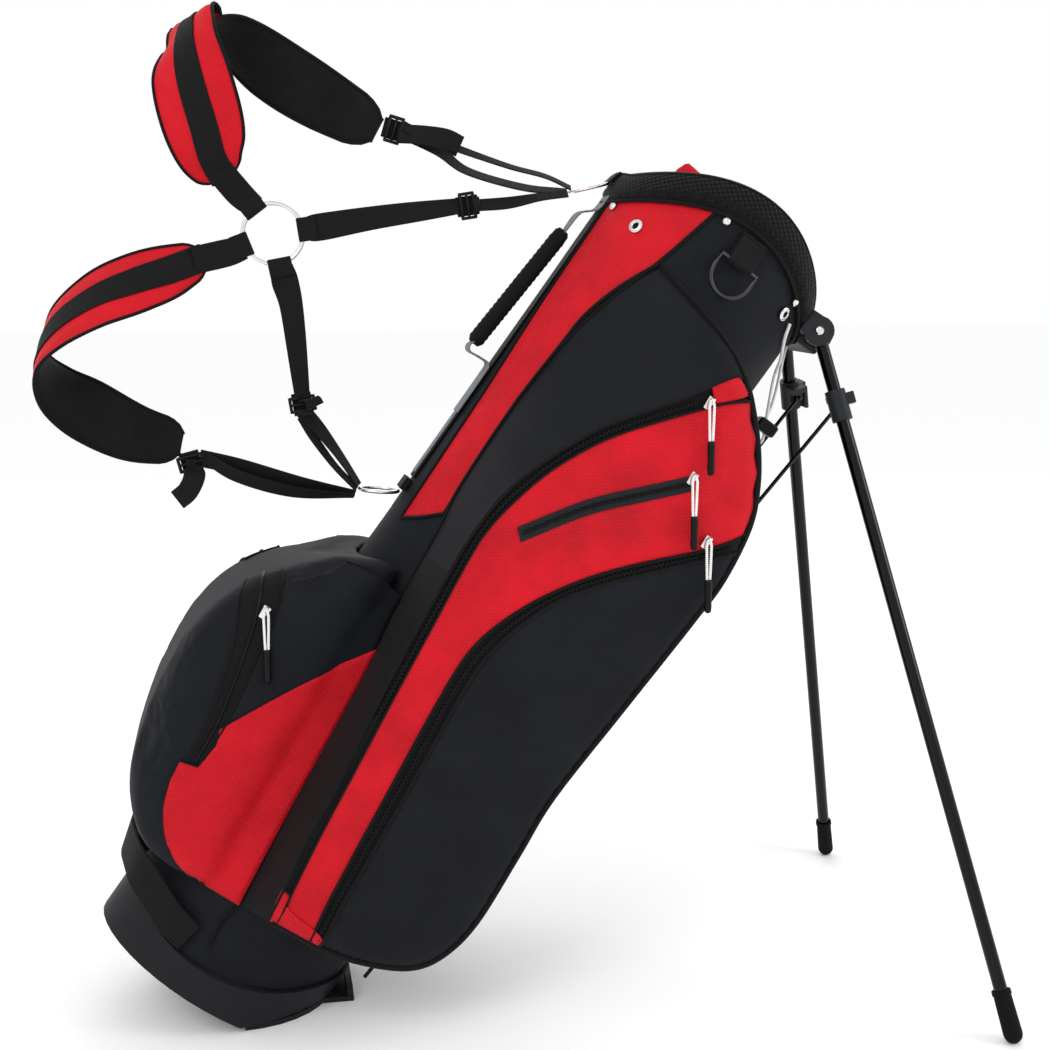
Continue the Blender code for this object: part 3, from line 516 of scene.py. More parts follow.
def strip_rings(route, across, section):
    """Rings for carry: the section is (side, out, width share) in metres at each place."""
    rings = []
    run = 0.0
    for k, (place, side, out) in enumerate(frames_along(route, across)):
        if k:
            run += (route[k] - route[k - 1]).length
        rings.append([(place + side * s + out * n, (s, run, n)) for s, n in section(k / (len(route) - 1))])
    return rings


def flat_section(width, thickness):
    """Webbing: flat, with edges that are a little round."""
    h, w = thickness / 2, width / 2
    return [(-w, 0), (-w + h, -h), (0, -h), (w - h, -h), (w, 0), (w - h, h), (0, h), (-w + h, h)]


def round_section(radius, sides=10):
    return [(radius * math.cos(2 * math.pi * k / sides), radius * math.sin(2 * math.pi * k / sides))
            for k in range(sides)]


def strip(name, stations, thickness, finish, slot, steps=5, **more):
    """Webbing through stations: a middle point, its width direction and its width."""
    route = smooth_route([s[0] for s in stations], steps)
    across = smooth_route([Vector(s[1]).normalized() for s in stations], steps)
    widths = [w.x for w in smooth_route([(s[2], 0, 0) for s in stations], steps)]
    bm = bmesh.new()
    last = len(route) - 1
    first, end = carry(bm, strip_rings(route, across,
                                       lambda t: flat_section(widths[round(t * last)], thickness)))
    cap(bm, first)
    cap(bm, end)
    tidy_shell(bm)
    return make(name, bm, finish, slot, **more)


def tube(name, route, radius, finish, slot, sides=10, closed=False, **more):
    """Piping, cord or wire along a route."""
    bm = bmesh.new()
    up = Vector((0.31, 0.52, 0.79))
    route = [Vector(p) for p in route]
    rings = strip_rings(route, [up] * len(route), lambda t: round_section(radius, sides))
    if closed:
        rings = []
        for k, place in enumerate(route):
            ahead = (route[(k + 1) % len(route)] - route[k - 1]).normalized()
            side = (up - ahead * up.dot(ahead)).normalized()
            out = side.cross(ahead)
            rings.append([(place + side * s + out * n, (s, k * 0.002, n)) for s,
                          n in round_section(radius, sides)])
    first, end = carry(bm, rings, closed_route=closed)
    if not closed:
        cap(bm, first)
        cap(bm, end)
    tidy_shell(bm)
    return make(name, bm, finish, slot, sharp=60, **more)


print("strips and tubes ready")


# %% Hoops up the tube
def hoops(name, stations, finish, slot, segments=96, closed=False, cap_low=False, **more):
    """A wall round the bag: each station is a height for every a, and how far it stands off the tube."""
    bm = bmesh.new()
    rings = []
    for k, (height, lift) in enumerate(stations):
        ring = []
        for n in range(segments):
            angle = 360 * n / segments
            point = on_tube(angle, 0, lift)
            point.z = height(point.x)
            ring.append((point, (math.radians(angle) * (HALF_A + HALF_Y) / 2, point.z, 0.0)))
        rings.append(ring)
    first, last = carry(bm, rings, closed_route=closed)
    if cap_low:
        cap(bm, first)
    tidy_shell(bm)
    return make(name, bm, finish, slot, **more)


def level(height, shift=0.0):
    return lambda a: height(a) + shift


def between(low, high, t, shift=0.0):
    return lambda a: low(a) * (1 - t) + high(a) * t + shift


print("hoops ready")

# %% [markdown]
# ## The tube and its panels
#
# The tube is one long sleeve of black polyester over two stays. It isn't perfectly taut: slow
# noise pushes it in and out by a millimetre. On it lie the red upper panels, one on each flank,
# drawn by arc length round the tube and height, with black piping along their edges.

# %% Body sleeve
ARC = math.radians(1) * (HALF_A + HALF_Y) / 2        # metres of cloth per degree round the tube


def on_sleeve(flat, lift=0.0):
    """Cloth coordinates on the tube: metres round from the spine, and height."""
    slack = noise.noise(Vector((flat[0] * 14, flat[1] * 9, 3.1))) * 0.0011
    return on_tube(flat[0] / ARC, flat[1], lift + slack - 0.0006)


def sleeve():
    bm = bmesh.new()
    rings = []
    rows, segments = 72, 120
    for i in range(rows + 1):
        ring = []
        for n in range(segments):
            angle = 360 * n / segments
            at = on_tube(angle, 0)
            low = boot_height(at.x) - 0.026
            high = seam_height(at.x) + 0.004
            u = low + (high - low) * i / rows
            ring.append((on_sleeve((angle * ARC, u)), (angle * ARC, u, 0.0)))
        rings.append(ring)
    carry(bm, rings)
    tidy_shell(bm)
    return thicken(make("body_sleeve", bm, BLACK, "black_cloth", replaces=["body_shell"]), 0.0022)


sleeve()


# %% Red upper panels
def round_tube(points):
    """Angle and height become metres of cloth and height."""
    return [(angle * ARC, u) for angle, u in points]


RED_LEFT = [(7.5, 0.840), (11, 0.740), (16.5, 0.620), (19, 0.555), (21.5, 0.478)]
RED_RIGHT = [(70, 0.878), (61.5, 0.812), (53, 0.764), (46, 0.710), (42.5, 0.660), (42, 0.612), (44, 0.532),
             (45, 0.506)]
RED_TOP = [RED_LEFT[0], (18, 0.843), (41, 0.856), RED_RIGHT[0]]
RED_BOTTOM = [RED_LEFT[-1], (34, 0.490), RED_RIGHT[-1]]


def mirrored(points, side):
    return points if side < 0 else [(360 - angle, u) for angle, u in points]


SIDES = (("near", -1), ("far", 1))
for word, side in SIDES:
    edges = [curve(round_tube(mirrored(e, side))) for e in (RED_LEFT, RED_RIGHT, RED_TOP, RED_BOTTOM)]
    panel("red_upper_panel_" + word, edges, on_sleeve, RED, "red_cloth", columns=30, rows=70)
    for edge, label in zip(edges, ("left", "right", "top", "bottom")):
        tube(f"upper_piping_{label}_{word}", [on_sleeve(p, 0.0012) for p in edge], 0.0017, TAPE, "webbing", 8)
print("red upper panels and their piping")

# %% [markdown]
# ## Side pockets
#
# A long boxed pocket stands off each flank. Its front is a smooth skin that rolls over at the outer
# edge, where a fat black piping joins it to the side wall. The panels on that skin are drawn by
# four curves that run the whole length: the upper zip's two edges and the lower zip's two edges.
# Between the body seam and the upper zip, one panel rises from the tube to the skin.

# %% Skin of a side pocket
FRONT = {-1: 0.142, 1: 0.128}
OUTER_EDGE = [(0.008, 0.764), (0.026, 0.751), (0.055, 0.723), (0.078, 0.693), (0.095, 0.658), (0.104, 0.605),
              (0.103, 0.560), (0.101, 0.520), (0.097, 0.449), (0.092, 0.351), (0.097, 0.288), (0.102, 0.215),
              (0.094, 0.172), (0.074, 0.146), (0.032, 0.128), (-0.007, 0.121), (-0.056, 0.119)]
EDGE_ROUTE = [p.copy() for p in curve(OUTER_EDGE, 200)]
EDGE_POINTS = np.array([tuple(p) for p in EDGE_ROUTE])
ROLL = 0.013


def front_y(a, u, side):
    """The skin: a shallow crown that rolls over near the outer edge, and puckers a little."""
    near = float(np.min(np.hypot(EDGE_POINTS[:, 0] - a, EDGE_POINTS[:, 1] - u)))
    drop = 0.0
    if near < ROLL:
        drop = ROLL * 0.75 * (1 - math.sqrt(max(0.0, 1 - (1 - near / ROLL) ** 2)))
    crown = 0.0035 * min(1.0, near / 0.07)
    slack = noise.noise(Vector((a * 16 + 5, u * 8, side * 3.0))) * 0.0022 * min(1.0, near / 0.03)
    return side * (FRONT[side] - 0.003 + crown + slack - drop)


def on_front(side):
    def place(flat, lift=0.0):
        here = front_y(flat[0], flat[1], side)
        step = 0.0015
        tilt = Vector((-(front_y(flat[0] + step, flat[1], side) - here) / step, 1.0,
                       -(front_y(flat[0], flat[1] + step, side) - here) / step)) * side
        return Vector((flat[0], here, flat[1])) + tilt.normalized() * lift
    return place


BAND_CORNER = (0.096, 0.654)
APPAREL_CORNER = (0.101, 0.634)
ZIP_OUTER = [(0.008, 0.765), (-0.003, 0.757), (-0.031, 0.713), (-0.076, 0.651), (-0.108, 0.575),
             (-0.115, 0.514),
             (-0.109, 0.443), (-0.098, 0.350), (-0.082, 0.250), (-0.077, 0.200), (-0.068, 0.155),
             (-0.062, 0.118)]
ZIP_INNER = [(0.026, 0.751), (0.002, 0.731), (-0.041, 0.680), (-0.069, 0.641), (-0.090, 0.597),
             (-0.101, 0.556),
             (-0.106, 0.520), (-0.104, 0.485), (-0.094, 0.406), (-0.082, 0.311), (-0.068, 0.204),
             (-0.053, 0.119)]
LOW_OUTER = [BAND_CORNER, (0.089, 0.640), (0.067, 0.613), (0.034, 0.580), (0.003, 0.545), (-0.020, 0.513),
             (-0.039, 0.478), (-0.053, 0.436), (-0.054, 0.391), (-0.041, 0.279), (-0.028, 0.175),
             (-0.018, 0.120)]
LOW_INNER = [APPAREL_CORNER, (0.074, 0.608), (0.041, 0.573), (0.009, 0.537), (-0.014, 0.506), (-0.029, 0.472),
             (-0.039, 0.432), (-0.039, 0.391), (-0.027, 0.288), (-0.015, 0.172), (-0.007, 0.121)]
SEAM_FOOT = (75, 0.101)
BODY_SEAM = [(61.5, 0.807), (52, 0.769), (45.5, 0.730), (44, 0.692), (42.5, 0.650), (42, 0.612), (44, 0.532),
             (48, 0.492), (52.5, 0.418), (59.5, 0.336), (66.5, 0.221), SEAM_FOOT]
TOP_SEAM = [(-0.104, 0.807, 0.0), (-0.080, 0.800, 0.14), (-0.055, 0.793, 0.34), (-0.028, 0.784, 0.62),
            (-0.006, 0.774, 0.86), (0.008, 0.764, 1.0)]
RED_FOOT_TOP = [(-0.069, 0.152), (-0.060, 0.150), (-0.056, 0.140)]


def top_seam(side):
    """Along the top, the pocket grows from the tube out to its full depth."""
    route = []
    for a, u, grown in TOP_SEAM:
        skin = FRONT[side] - 0.006
        route.append(Vector((a, side * (tube_reach(a) * (1 - grown) + skin * grown), u)))
    return route


def body_seam(side):
    return [on_tube(angle if side < 0 else 360 - angle, u, 0.0008) for angle, u in BODY_SEAM]


for word, side in SIDES:
    front = on_front(side)
    corner = OUTER_EDGE[1:4] + [BAND_CORNER]
    panel("pocket_band_" + word, [curve(ZIP_INNER), curve(LOW_OUTER), curve(corner),
                                  curve([ZIP_INNER[-1], (-0.036, 0.119), LOW_OUTER[-1]])],
          front, RED, "red_cloth", columns=34, rows=96)
    panel("pocket_zip_bed_" + word, [curve(ZIP_OUTER), curve(ZIP_INNER), None, None], front, TAPE, "webbing",
          lift=0.0002, columns=10, rows=96)
    panel("pocket_low_bed_" + word, [curve(LOW_OUTER), curve(LOW_INNER), None, None], front, TAPE, "webbing",
          lift=0.0002, columns=8, rows=96)
    panel("apparel_panel_" + word, [curve(LOW_INNER), curve([APPAREL_CORNER] + OUTER_EDGE[5:14]), None,
                                    curve([LOW_INNER[-1], (0.014, 0.124), (0.032, 0.128), (0.050, 0.134),
                                           OUTER_EDGE[13]])],
          front, BLACK, "black_cloth", columns=34, rows=90)
    left = body_seam(side)
    right = [front(p, 0.0006) for p in ZIP_OUTER]
    top = top_seam(side)
    low = [left[-1], left[-1] * 0.5 + right[-1] * 0.5, right[-1]]
    bm = bmesh.new()
    cloth = bm.verts.layers.float_vector.new("cloth")
    columns, rows = 26, 80
    grid = four_edges(curve(left, 90), curve(right, 90), curve(top, 40), curve(low, 20), columns, rows)
    bmesh.ops.create_grid(bm, x_segments=columns, y_segments=rows, size=1.0)
    for vert in bm.verts:
        j, i = round((vert.co.x + 1) / 2 * columns), round((1 - vert.co.y) / 2 * rows)
        s, t = j / columns, i / rows
        flat = grid[i, j]
        puff = 0.0045 * math.sin(math.pi * s) * min(1.0, 4 * t) * min(1.0, 4 * (1 - t))
        folds = noise.noise(Vector((flat.x * 11, flat.z * 7, 8.0 + side))) * 0.002 * math.sin(math.pi * s)
        vert.co = flat + Vector((-0.5, side * 0.86, 0)) * (puff + folds)
        vert[cloth] = (flat.x + flat.y * 0.8, flat.z, 0.0)
    bm.normal_update()
    if sum(f.normal.y * side for f in bm.faces) < 0:
        bmesh.ops.reverse_faces(bm, faces=bm.faces)
    for face in bm.faces:
        face.material_index = 1 if face.calc_center_median().z < 0.47 else 0
    thicken(make("flank_panel_" + word, bm, [BLACK, LINING], "black_cloth"), 0.0012)
    panel("pocket_corner_" + word, [curve([(0.000, 0.762), (-0.007, 0.750), (-0.014, 0.740)]),
                                    curve([(0.022, 0.754), (0.010, 0.741), (-0.002, 0.729)]), None, None],
          front, RED, "red_cloth", lift=0.0016, columns=14, rows=16)
    panel("pocket_red_foot_" + word, [curve([RED_FOOT_TOP[0], (-0.066, 0.135), (-0.062, 0.119)]),
                                      curve([(-0.010, 0.130), (-0.009, 0.121)]),
                                      curve([RED_FOOT_TOP[0], (-0.059, 0.150), (-0.052, 0.138),
                                             (-0.020, 0.133), (-0.010, 0.130)]), None],
          front, RED, "red_cloth", lift=0.002, columns=24, rows=12)
    tube("red_foot_piping_" + word, [front(p, 0.003) for p in curve(RED_FOOT_TOP, 20)],
         0.001, TAPE, "webbing", 8)
    tube("base_seam_" + word, [on_tube(angle if side < 0 else 360 - angle, u, 0.0016)
                               for angle, u in curve([SEAM_FOOT, (72.5, 0.080), (74.5, 0.052)], 24)],
         0.0014, TAPE, "webbing", 8)

    rings = []
    wall_route = [Vector((p.x, p.y, p.z)) for p in curve(top, 50)]
    wall_route += [front(p, 0.0) for p in EDGE_ROUTE[2:]]
    wall_route += [p for p in curve([front(EDGE_ROUTE[-1], 0.0), left[-1]], 8)][1:]
    run = 0.0
    for k, edge in enumerate(wall_route):
        if k:
            run += (edge - wall_route[k - 1]).length
        back = max(0.066, tube_reach(edge.x) - 0.003)
        back = min(back, abs(edge.y))
        inward = Vector((min(edge.x, 0.020), side * min(back, 0.064), edge.z))
        middle = Vector((edge.x, side * (abs(edge.y) * 0.55 + back * 0.45), edge.z))
        swell = 0.002 * min(1.0, (abs(edge.y) - back) / 0.05)
        rings.append([(edge, (0.0, run, 0)), (middle + Vector((swell, 0, 0)), (0.03, run, 0)),
                      (Vector((edge.x, side * back, edge.z)), (0.06, run, 0)), (inward, (0.10, run, 0))])
    bm = bmesh.new()
    carry(bm, rings, closed_section=False)
    bmesh.ops.recalc_face_normals(bm, faces=bm.faces)
    bm.normal_update()
    far_right = max(bm.faces, key=lambda f: f.calc_center_median().x)
    if far_right.normal.x < 0:
        bmesh.ops.reverse_faces(bm, faces=bm.faces)
    thicken(make("pocket_wall_" + word, bm, BLACK, "black_cloth", replaces=["side_pocket_" + word]), 0.0012)

    rim = []
    for k, p in enumerate(EDGE_ROUTE):
        ahead = EDGE_ROUTE[min(k + 1, len(EDGE_ROUTE) - 1)] - EDGE_ROUTE[max(k - 1, 0)]
        out = Vector((-ahead.y, ahead.x)).normalized()
        out = out if out.dot(p - Vector((0.0, 0.45))) > 0 else -out
        rim.append(Vector((p.x + out.x * 0.0012, side * (FRONT[side] - 0.0085), p.y + out.y * 0.0012)))
    tube("pocket_piping_" + word, rim, 0.003, TAPE, "webbing", 12)
    tube("pocket_top_piping_" + word, [p + Vector((0, 0, 0.001)) for p in curve(top, 60)], 0.0019, TAPE,
         "webbing", 8)
    tube("body_seam_piping_" + word, [on_tube(angle if side < 0 else 360 - angle, u, 0.0016)
                                      for angle, u in curve(BODY_SEAM, 120)], 0.0018, TAPE, "webbing", 8)
    for label, edge, size, count in (("zip_outer", ZIP_OUTER, 0.0016, 110),
                                     ("zip_inner", ZIP_INNER, 0.0013, 110),
                                     ("low_outer", LOW_OUTER, 0.0015, 110),
                                     ("low_inner", LOW_INNER, 0.0019, 110)):
        tube(f"piping_{label}_{word}", [front(p, 0.0012) for p in curve(edge, count)], size, TAPE,
             "webbing", 8)

# %% [markdown]
# ## Ball pocket
#
# The big pocket below the handle is padded cloth over a boxed form. The form is copied from the
# working solid, remeshed and inflated gently, so that its faces crown and its corners stay in.
# The cut panels, the piping and the zip are then laid on the inflated skin by finding the nearest
# point on it.

# %% Inflating
def inflated(name, node, voxel=0.005, pressure=4.0, cap=0.006, shrink=0.003):
    """A padded copy of a working solid: remeshed, inflated by cloth simulation, and smoothed."""
    bm = bmesh.new()
    bm.from_mesh(bpy.data.objects[node].data)
    bmesh.ops.remove_doubles(bm, verts=bm.verts, dist=1e-5)
    data = bpy.data.meshes.new(name)
    bm.to_mesh(data)
    bm.free()
    piece = bpy.data.objects.new(name, data)
    scene.collection.objects.link(piece)
    grid = piece.modifiers.new("grid", "REMESH")
    grid.mode = "VOXEL"
    grid.voxel_size = voxel
    calm = piece.modifiers.new("calm", "SMOOTH")
    calm.factor, calm.iterations = 0.5, 6
    bpy.context.view_layer.update()
    settle(piece)
    start = np.array([tuple(v.co) for v in piece.data.vertices])
    normals = np.array([tuple(v.normal) for v in piece.data.vertices])
    for vert, place in zip(piece.data.vertices, start - normals * shrink):
        vert.co = place
    cloth = piece.modifiers.new("fill", "CLOTH")
    cloth.settings.quality = 6
    cloth.settings.mass = 0.2
    cloth.settings.tension_stiffness = 18
    cloth.settings.compression_stiffness = 14
    cloth.settings.bending_stiffness = 0.6
    cloth.settings.use_pressure = True
    cloth.settings.uniform_pressure_force = pressure
    cloth.settings.effector_weights.gravity = 0.0
    for number in range(1, 21):
        scene.frame_set(number)
    settle(piece)
    moved = np.array([tuple(v.co) for v in piece.data.vertices]) - start
    far = np.linalg.norm(moved, axis=1)
    moved *= np.minimum(1.0, cap / np.maximum(far, 1e-9))[:, None]
    for vert, place in zip(piece.data.vertices, start + moved):
        vert.co = place
    scene.frame_set(1)
    return piece


def settle(piece):
    """Makes the modified shape the mesh itself, with no modifier left."""
    graph = bpy.context.evaluated_depsgraph_get()
    finished = bpy.data.meshes.new_from_object(piece.evaluated_get(graph))
    piece.modifiers.clear()
    piece.data = finished


form = inflated("ball_pocket_form", "ball_pocket")
bm = bmesh.new()
bm.from_mesh(form.data)
bpy.data.objects.remove(form)
bm.transform(INTO_BAG)
cloth = bm.verts.layers.float_vector.new("cloth")
for vert in bm.verts:
    vert[cloth] = (vert.co.y if abs(vert.co.y) < 0.07 else vert.co.x, vert.co.z, 0)
BALL_SKIN = BVHTree.FromBMesh(bm)
ball = make("ball_pocket_skin", bm, BLACK, "black_cloth", replaces=["ball_pocket"], sharp=180)
print("ball pocket skin", len(ball.data.vertices), "points")


# %% Panels of the ball pocket
def on_ball(point, lift=0.0):
    place, normal, _, _ = BALL_SKIN.find_nearest(Vector(point))
    return place + normal * lift


def over_ball(point, lift=0.0):
    """On the padded skin, and free of it where the cloth runs across to the body seam."""
    point = Vector(point)
    side = 1 if point.y > 0 else -1
    hit = BALL_SKIN.ray_cast(Vector((point.x, side * 0.2, point.z)), Vector((0, -side, 0)))[0]
    reach = max(abs(point.y), hit.y * side + lift + 0.0012 if hit else 0.0)
    free = min(1.0, max(0.0, (point.x + 0.150) / 0.025))
    return on_ball(point, lift + 0.0012).lerp(Vector((point.x, side * reach, point.z)), free)


def ball_panel(name, edges, finish, slot, columns=26, rows=30, thickness=0.001, lift=0.0009):
    routes = [curve(e, 50) for e in edges]
    grid = four_edges(*routes, columns, rows)
    bm = bmesh.new()
    cloth = bm.verts.layers.float_vector.new("cloth")
    bmesh.ops.create_grid(bm, x_segments=columns, y_segments=rows, size=1.0)
    for vert in bm.verts:
        j, i = round((vert.co.x + 1) / 2 * columns), round((1 - vert.co.y) / 2 * rows)
        flat = grid[i, j]
        vert[cloth] = (flat.x + flat.y * 0.9, flat.z, 0)
        vert.co = over_ball(flat, lift)
    bm.normal_update()
    out = sum((f.normal.dot(BALL_SKIN.find_nearest(f.calc_center_median())[1]) for f in bm.faces))
    if out < 0:
        bmesh.ops.reverse_faces(bm, faces=bm.faces)
    return thicken(make(name, bm, finish, slot), thickness)


def ball_line(name, points, radius, finish=TAPE, slot="webbing", lift=0.001, count=70, sides=8):
    return tube(name, [on_ball(p, lift) for p in curve(points, count)], radius, finish, slot, sides)


for word, side in SIDES:
    near = side * 0.089
    face = lambda a, u, out=near: (a, out, u)
    seam = lambda a, u: (a, side * (tube_reach(a) + 0.005), u)
    seam_top, seam_foot = seam(-0.112, 0.369), seam(-0.081, 0.101)
    zip_corner, low_corner = face(-0.191, 0.232), face(-0.200, 0.167)
    lower = [seam_foot, (-0.131, side * 0.083, 0.099), face(-0.165, 0.112), face(-0.188, 0.138), low_corner]
    upper = [seam_top, face(-0.149, 0.314), zip_corner]
    notch = [zip_corner, face(-0.185, 0.218), face(-0.187, 0.192), face(-0.203, 0.188), low_corner]
    notch = evenly([Vector(p) for p in notch], 30)
    inner = [seam_top, seam(-0.107, 0.336), seam(-0.095, 0.221), seam_foot]
    ball_panel("ball_red_panel_" + word, (notch, inner, list(reversed(upper)), list(reversed(lower))), RED,
               "red_cloth")
    for label, route in (("top", upper), ("notch", notch), ("low", lower)):
        ball_line(f"ball_red_piping_{label}_{word}", route, 0.0014)
    lap = [face(a + 0.0045, u + 0.003 * (u < 0.2) - 0.001) for a,
           u in ((-0.193, 0.234), (-0.188, 0.222), (-0.189, 0.196))]
    ball_line("ball_red_stitch_" + word, lap, 0.0006, RED_THREAD, "red_cloth", 0.0016)
    top_line = [(-0.184, side * 0.072, 0.422), (-0.150, side * 0.083, 0.426), (-0.125, side * 0.082, 0.422)]
    ball_line("ball_top_seam_" + word, top_line, 0.0016)
    near_edge = [(-0.224, side * 0.060, 0.380), (-0.217, side * 0.078, 0.370),
                 (-0.209, side * 0.086, 0.350), face(-0.203, 0.320),
                 face(-0.195, 0.280), face(-0.188, 0.238), face(-0.186, 0.200)]
    far_edge = [(-0.248, side * 0.050, 0.355), (-0.244, side * 0.070, 0.345), (-0.235, side * 0.082, 0.327),
                face(-0.225, 0.305),
                face(-0.213, 0.270), face(-0.202, 0.232), face(-0.1965, 0.193)]
    top_of = [(-0.184, side * 0.072, 0.422), (-0.150, side * 0.083, 0.426), seam(-0.120, 0.422)]
    edge_in = [top_of[0], (-0.200, side * 0.078, 0.404)] + near_edge[1:6] + [zip_corner]
    ball_panel("ball_black_panel_" + word, (edge_in, [top_of[2], seam(-0.118, 0.405), seam_top], top_of,
                                            [zip_corner, upper[1], seam_top]),
               BLACK, "black_cloth", columns=24, rows=40, lift=0.0004)
    ball_panel("ball_zip_bed_" + word, (far_edge, near_edge, [far_edge[0], near_edge[0]],
                                        [far_edge[-1], near_edge[-1]]),
               TAPE, "webbing", columns=8, rows=50, lift=0.0007)
    ball_line("ball_zip_piping_outer_" + word, far_edge, 0.0016)
    ball_line("ball_zip_piping_inner_" + word, near_edge, 0.0016)
    middle = [tuple(Vector(p).lerp(Vector(q), 0.5)) for p, q in zip(far_edge, near_edge)]
    ball_line("ball_zip_coil_" + word, middle, 0.0015, BUCKLE, "gloss_plastic", 0.002, 90)
print("ball pocket panels and zip")

# %% [markdown]
# ## Top of the bag
#
# The cuff is thick spacer mesh rolled over a moulded collar, with a smooth binding along its lower
# seam and another round the rim. Inside it are the lining, the padded divider cross and the walls.

# %% Cuff, bindings, collar and lining
def cuff_height(t, shift=0.0):
    return between(seam_height, rim_height, t, shift)


profile = [(0.02, 0.001), (0.06, 0.005), (0.14, 0.0064), (0.40, 0.007), (0.70, 0.0066), (0.86, 0.0056),
           (0.95, 0.0036), (0.985, 0.0012), (0.985, -0.0022), (0.95, -0.004), (0.80, -0.0045)]
hoops("mesh_cuff", [(cuff_height(t), lift) for t, lift in profile], MESH, "mesh_cloth", segments=128,
      replaces=["collar_cuff"])
hoops("cuff_rim_binding", [(cuff_height(0.93), 0.0052), (cuff_height(0.97), 0.0048),
                           (cuff_height(1.0, 0.0004), 0.0022),
                           (cuff_height(1.0, 0.0008), -0.0006), (cuff_height(1.0, 0.0), -0.0034),
                           (cuff_height(0.96), -0.005), (cuff_height(0.90), -0.0052)],
      TAPE, "webbing", segments=128)
hoops("cuff_seam_binding", [(level(seam_height, -0.0055), 0.0006), (level(seam_height, -0.0045), 0.0024),
                            (level(seam_height, 0.0), 0.0036), (level(seam_height, 0.0045), 0.0068),
                            (level(seam_height, 0.0075), 0.0072), (level(seam_height, 0.0085), 0.0058)],
      TAPE, "webbing", segments=128)
hoops("collar_liner", [(level(rim_height, -0.006), -0.0048), (cuff_height(0.5), -0.0062),
                       (cuff_height(0.0, -0.010), -0.0062)],
      LINING, "black_cloth", segments=96, replaces=["top_collar"])
tube("cuff_seam_cord", [Vector((*on_tube(3 * n, 0, 0.003).xy, seam_height(on_tube(3 * n, 0).x) - 0.006))
                        for n in range(120)], 0.0016, TAPE, "webbing", 8, closed=True)
print("cuff and bindings")


# %% Finished copies of the hard parts
def refined(node, finish, slot, body=ROOT, width=0.0006, segments=2, sharp=38):
    """A copy of a working solid: corners joined, faces made whole, edges softly rounded."""
    bm = bmesh.new()
    bm.from_mesh(bpy.data.objects[node].data)
    bmesh.ops.remove_doubles(bm, verts=bm.verts, dist=1e-5)
    bmesh.ops.dissolve_limit(bm, angle_limit=math.radians(1.0), verts=bm.verts, edges=bm.edges)
    piece = make(node + "_finished", bm, finish, slot, body, [node], sharp, Matrix())
    if width:
        soften(piece, width, segments)
    return piece


refined("divider_frame", PAD_RED, "red_cloth", width=0.0018)
refined("divider_walls", LINING, "black_cloth", width=0.0)
for node in ("stay_near", "stay_far"):
    refined(node, PLASTIC, "stay_rod", width=0.0003)
refined("bottom_boot", SOFT_PLASTIC, "moulded_plastic", width=0.0012, segments=3)
refined("foot_plate", SOFT_PLASTIC, "moulded_plastic", "foot_plate", width=0.0008)
refined("foot_hinge_pin", DARK_STEEL, "bright_steel", width=0.0004)
refined("stand_bracket", GREY_PLASTIC, "moulded_plastic", width=0.0008)
refined("cord_keeper", BUCKLE, "gloss_plastic", width=0.0006)
refined("ring_tab", WEBBING, "webbing", width=0.0006)
strip("attach_fold_top", [((-0.169, 0, 0.865), (0, 1, 0), 0.022), ((-0.1712, 0, 0.860), (0, 1, 0), 0.022),
                          ((-0.1724, 0, 0.8545), (0, 1, 0), 0.022),
                          ((-0.1736, 0, 0.850), (0, 1, 0), 0.022)], 0.0022, WEBBING, "webbing",
      replaces=["attach_tab_top"])
refined("attach_tab_middle", WEBBING, "webbing", width=0.0006)
for word, side in SIDES:
    refined("leg_pivot_pin_" + word, NICKEL, "bright_steel", width=0.0003)
    refined("leg_collar_" + word, GREY_PLASTIC, "moulded_plastic", "leg_" + word, width=0.0006)
    refined("push_rod_" + word, LEG_PAINT, "leg_finish", "rod_" + word, width=0.0)
    refined("foot_tip_" + word, RUBBER, "rubber_tip", "leg_" + word, width=0.0)
print("hard parts refined")


# %% Leg tubes
def leg_frame(side):
    """At the pivot: minus z runs down the leg, and y is the hinge axis."""
    out = math.sqrt(1 - 0.278 ** 2 - 0.6393 ** 2)
    down = Vector((out, side * 0.278, -0.6393))
    hinge = Vector((0, 0, -1)).cross(down).normalized()
    if hinge.y * side > 0:
        hinge = -hinge
    across = hinge.cross(-down)
    matrix = Matrix((across, hinge, -down)).transposed().to_4x4()
    matrix.translation = (0.071, side * 0.047, 0.853)
    return matrix


def turned(name, profile, finish, slot, place, body=ROOT, steps=28, replaces=()):
    """A profile of (radius, height) pairs spun round its own z axis."""
    bm = bmesh.new()
    chain = [bm.verts.new((r, 0, z)) for r, z in profile]
    edges = [bm.edges.new(pair) for pair in zip(chain, chain[1:])]
    bmesh.ops.spin(bm, geom=chain + edges, cent=(0, 0, 0), axis=(0, 0, 1), angle=2 * math.pi, steps=steps,
                   use_merge=True)
    bmesh.ops.remove_doubles(bm, verts=bm.verts, dist=1e-6)
    bmesh.ops.recalc_face_normals(bm, faces=bm.faces)
    return make(name, bm, finish, slot, body, replaces, 35, place)


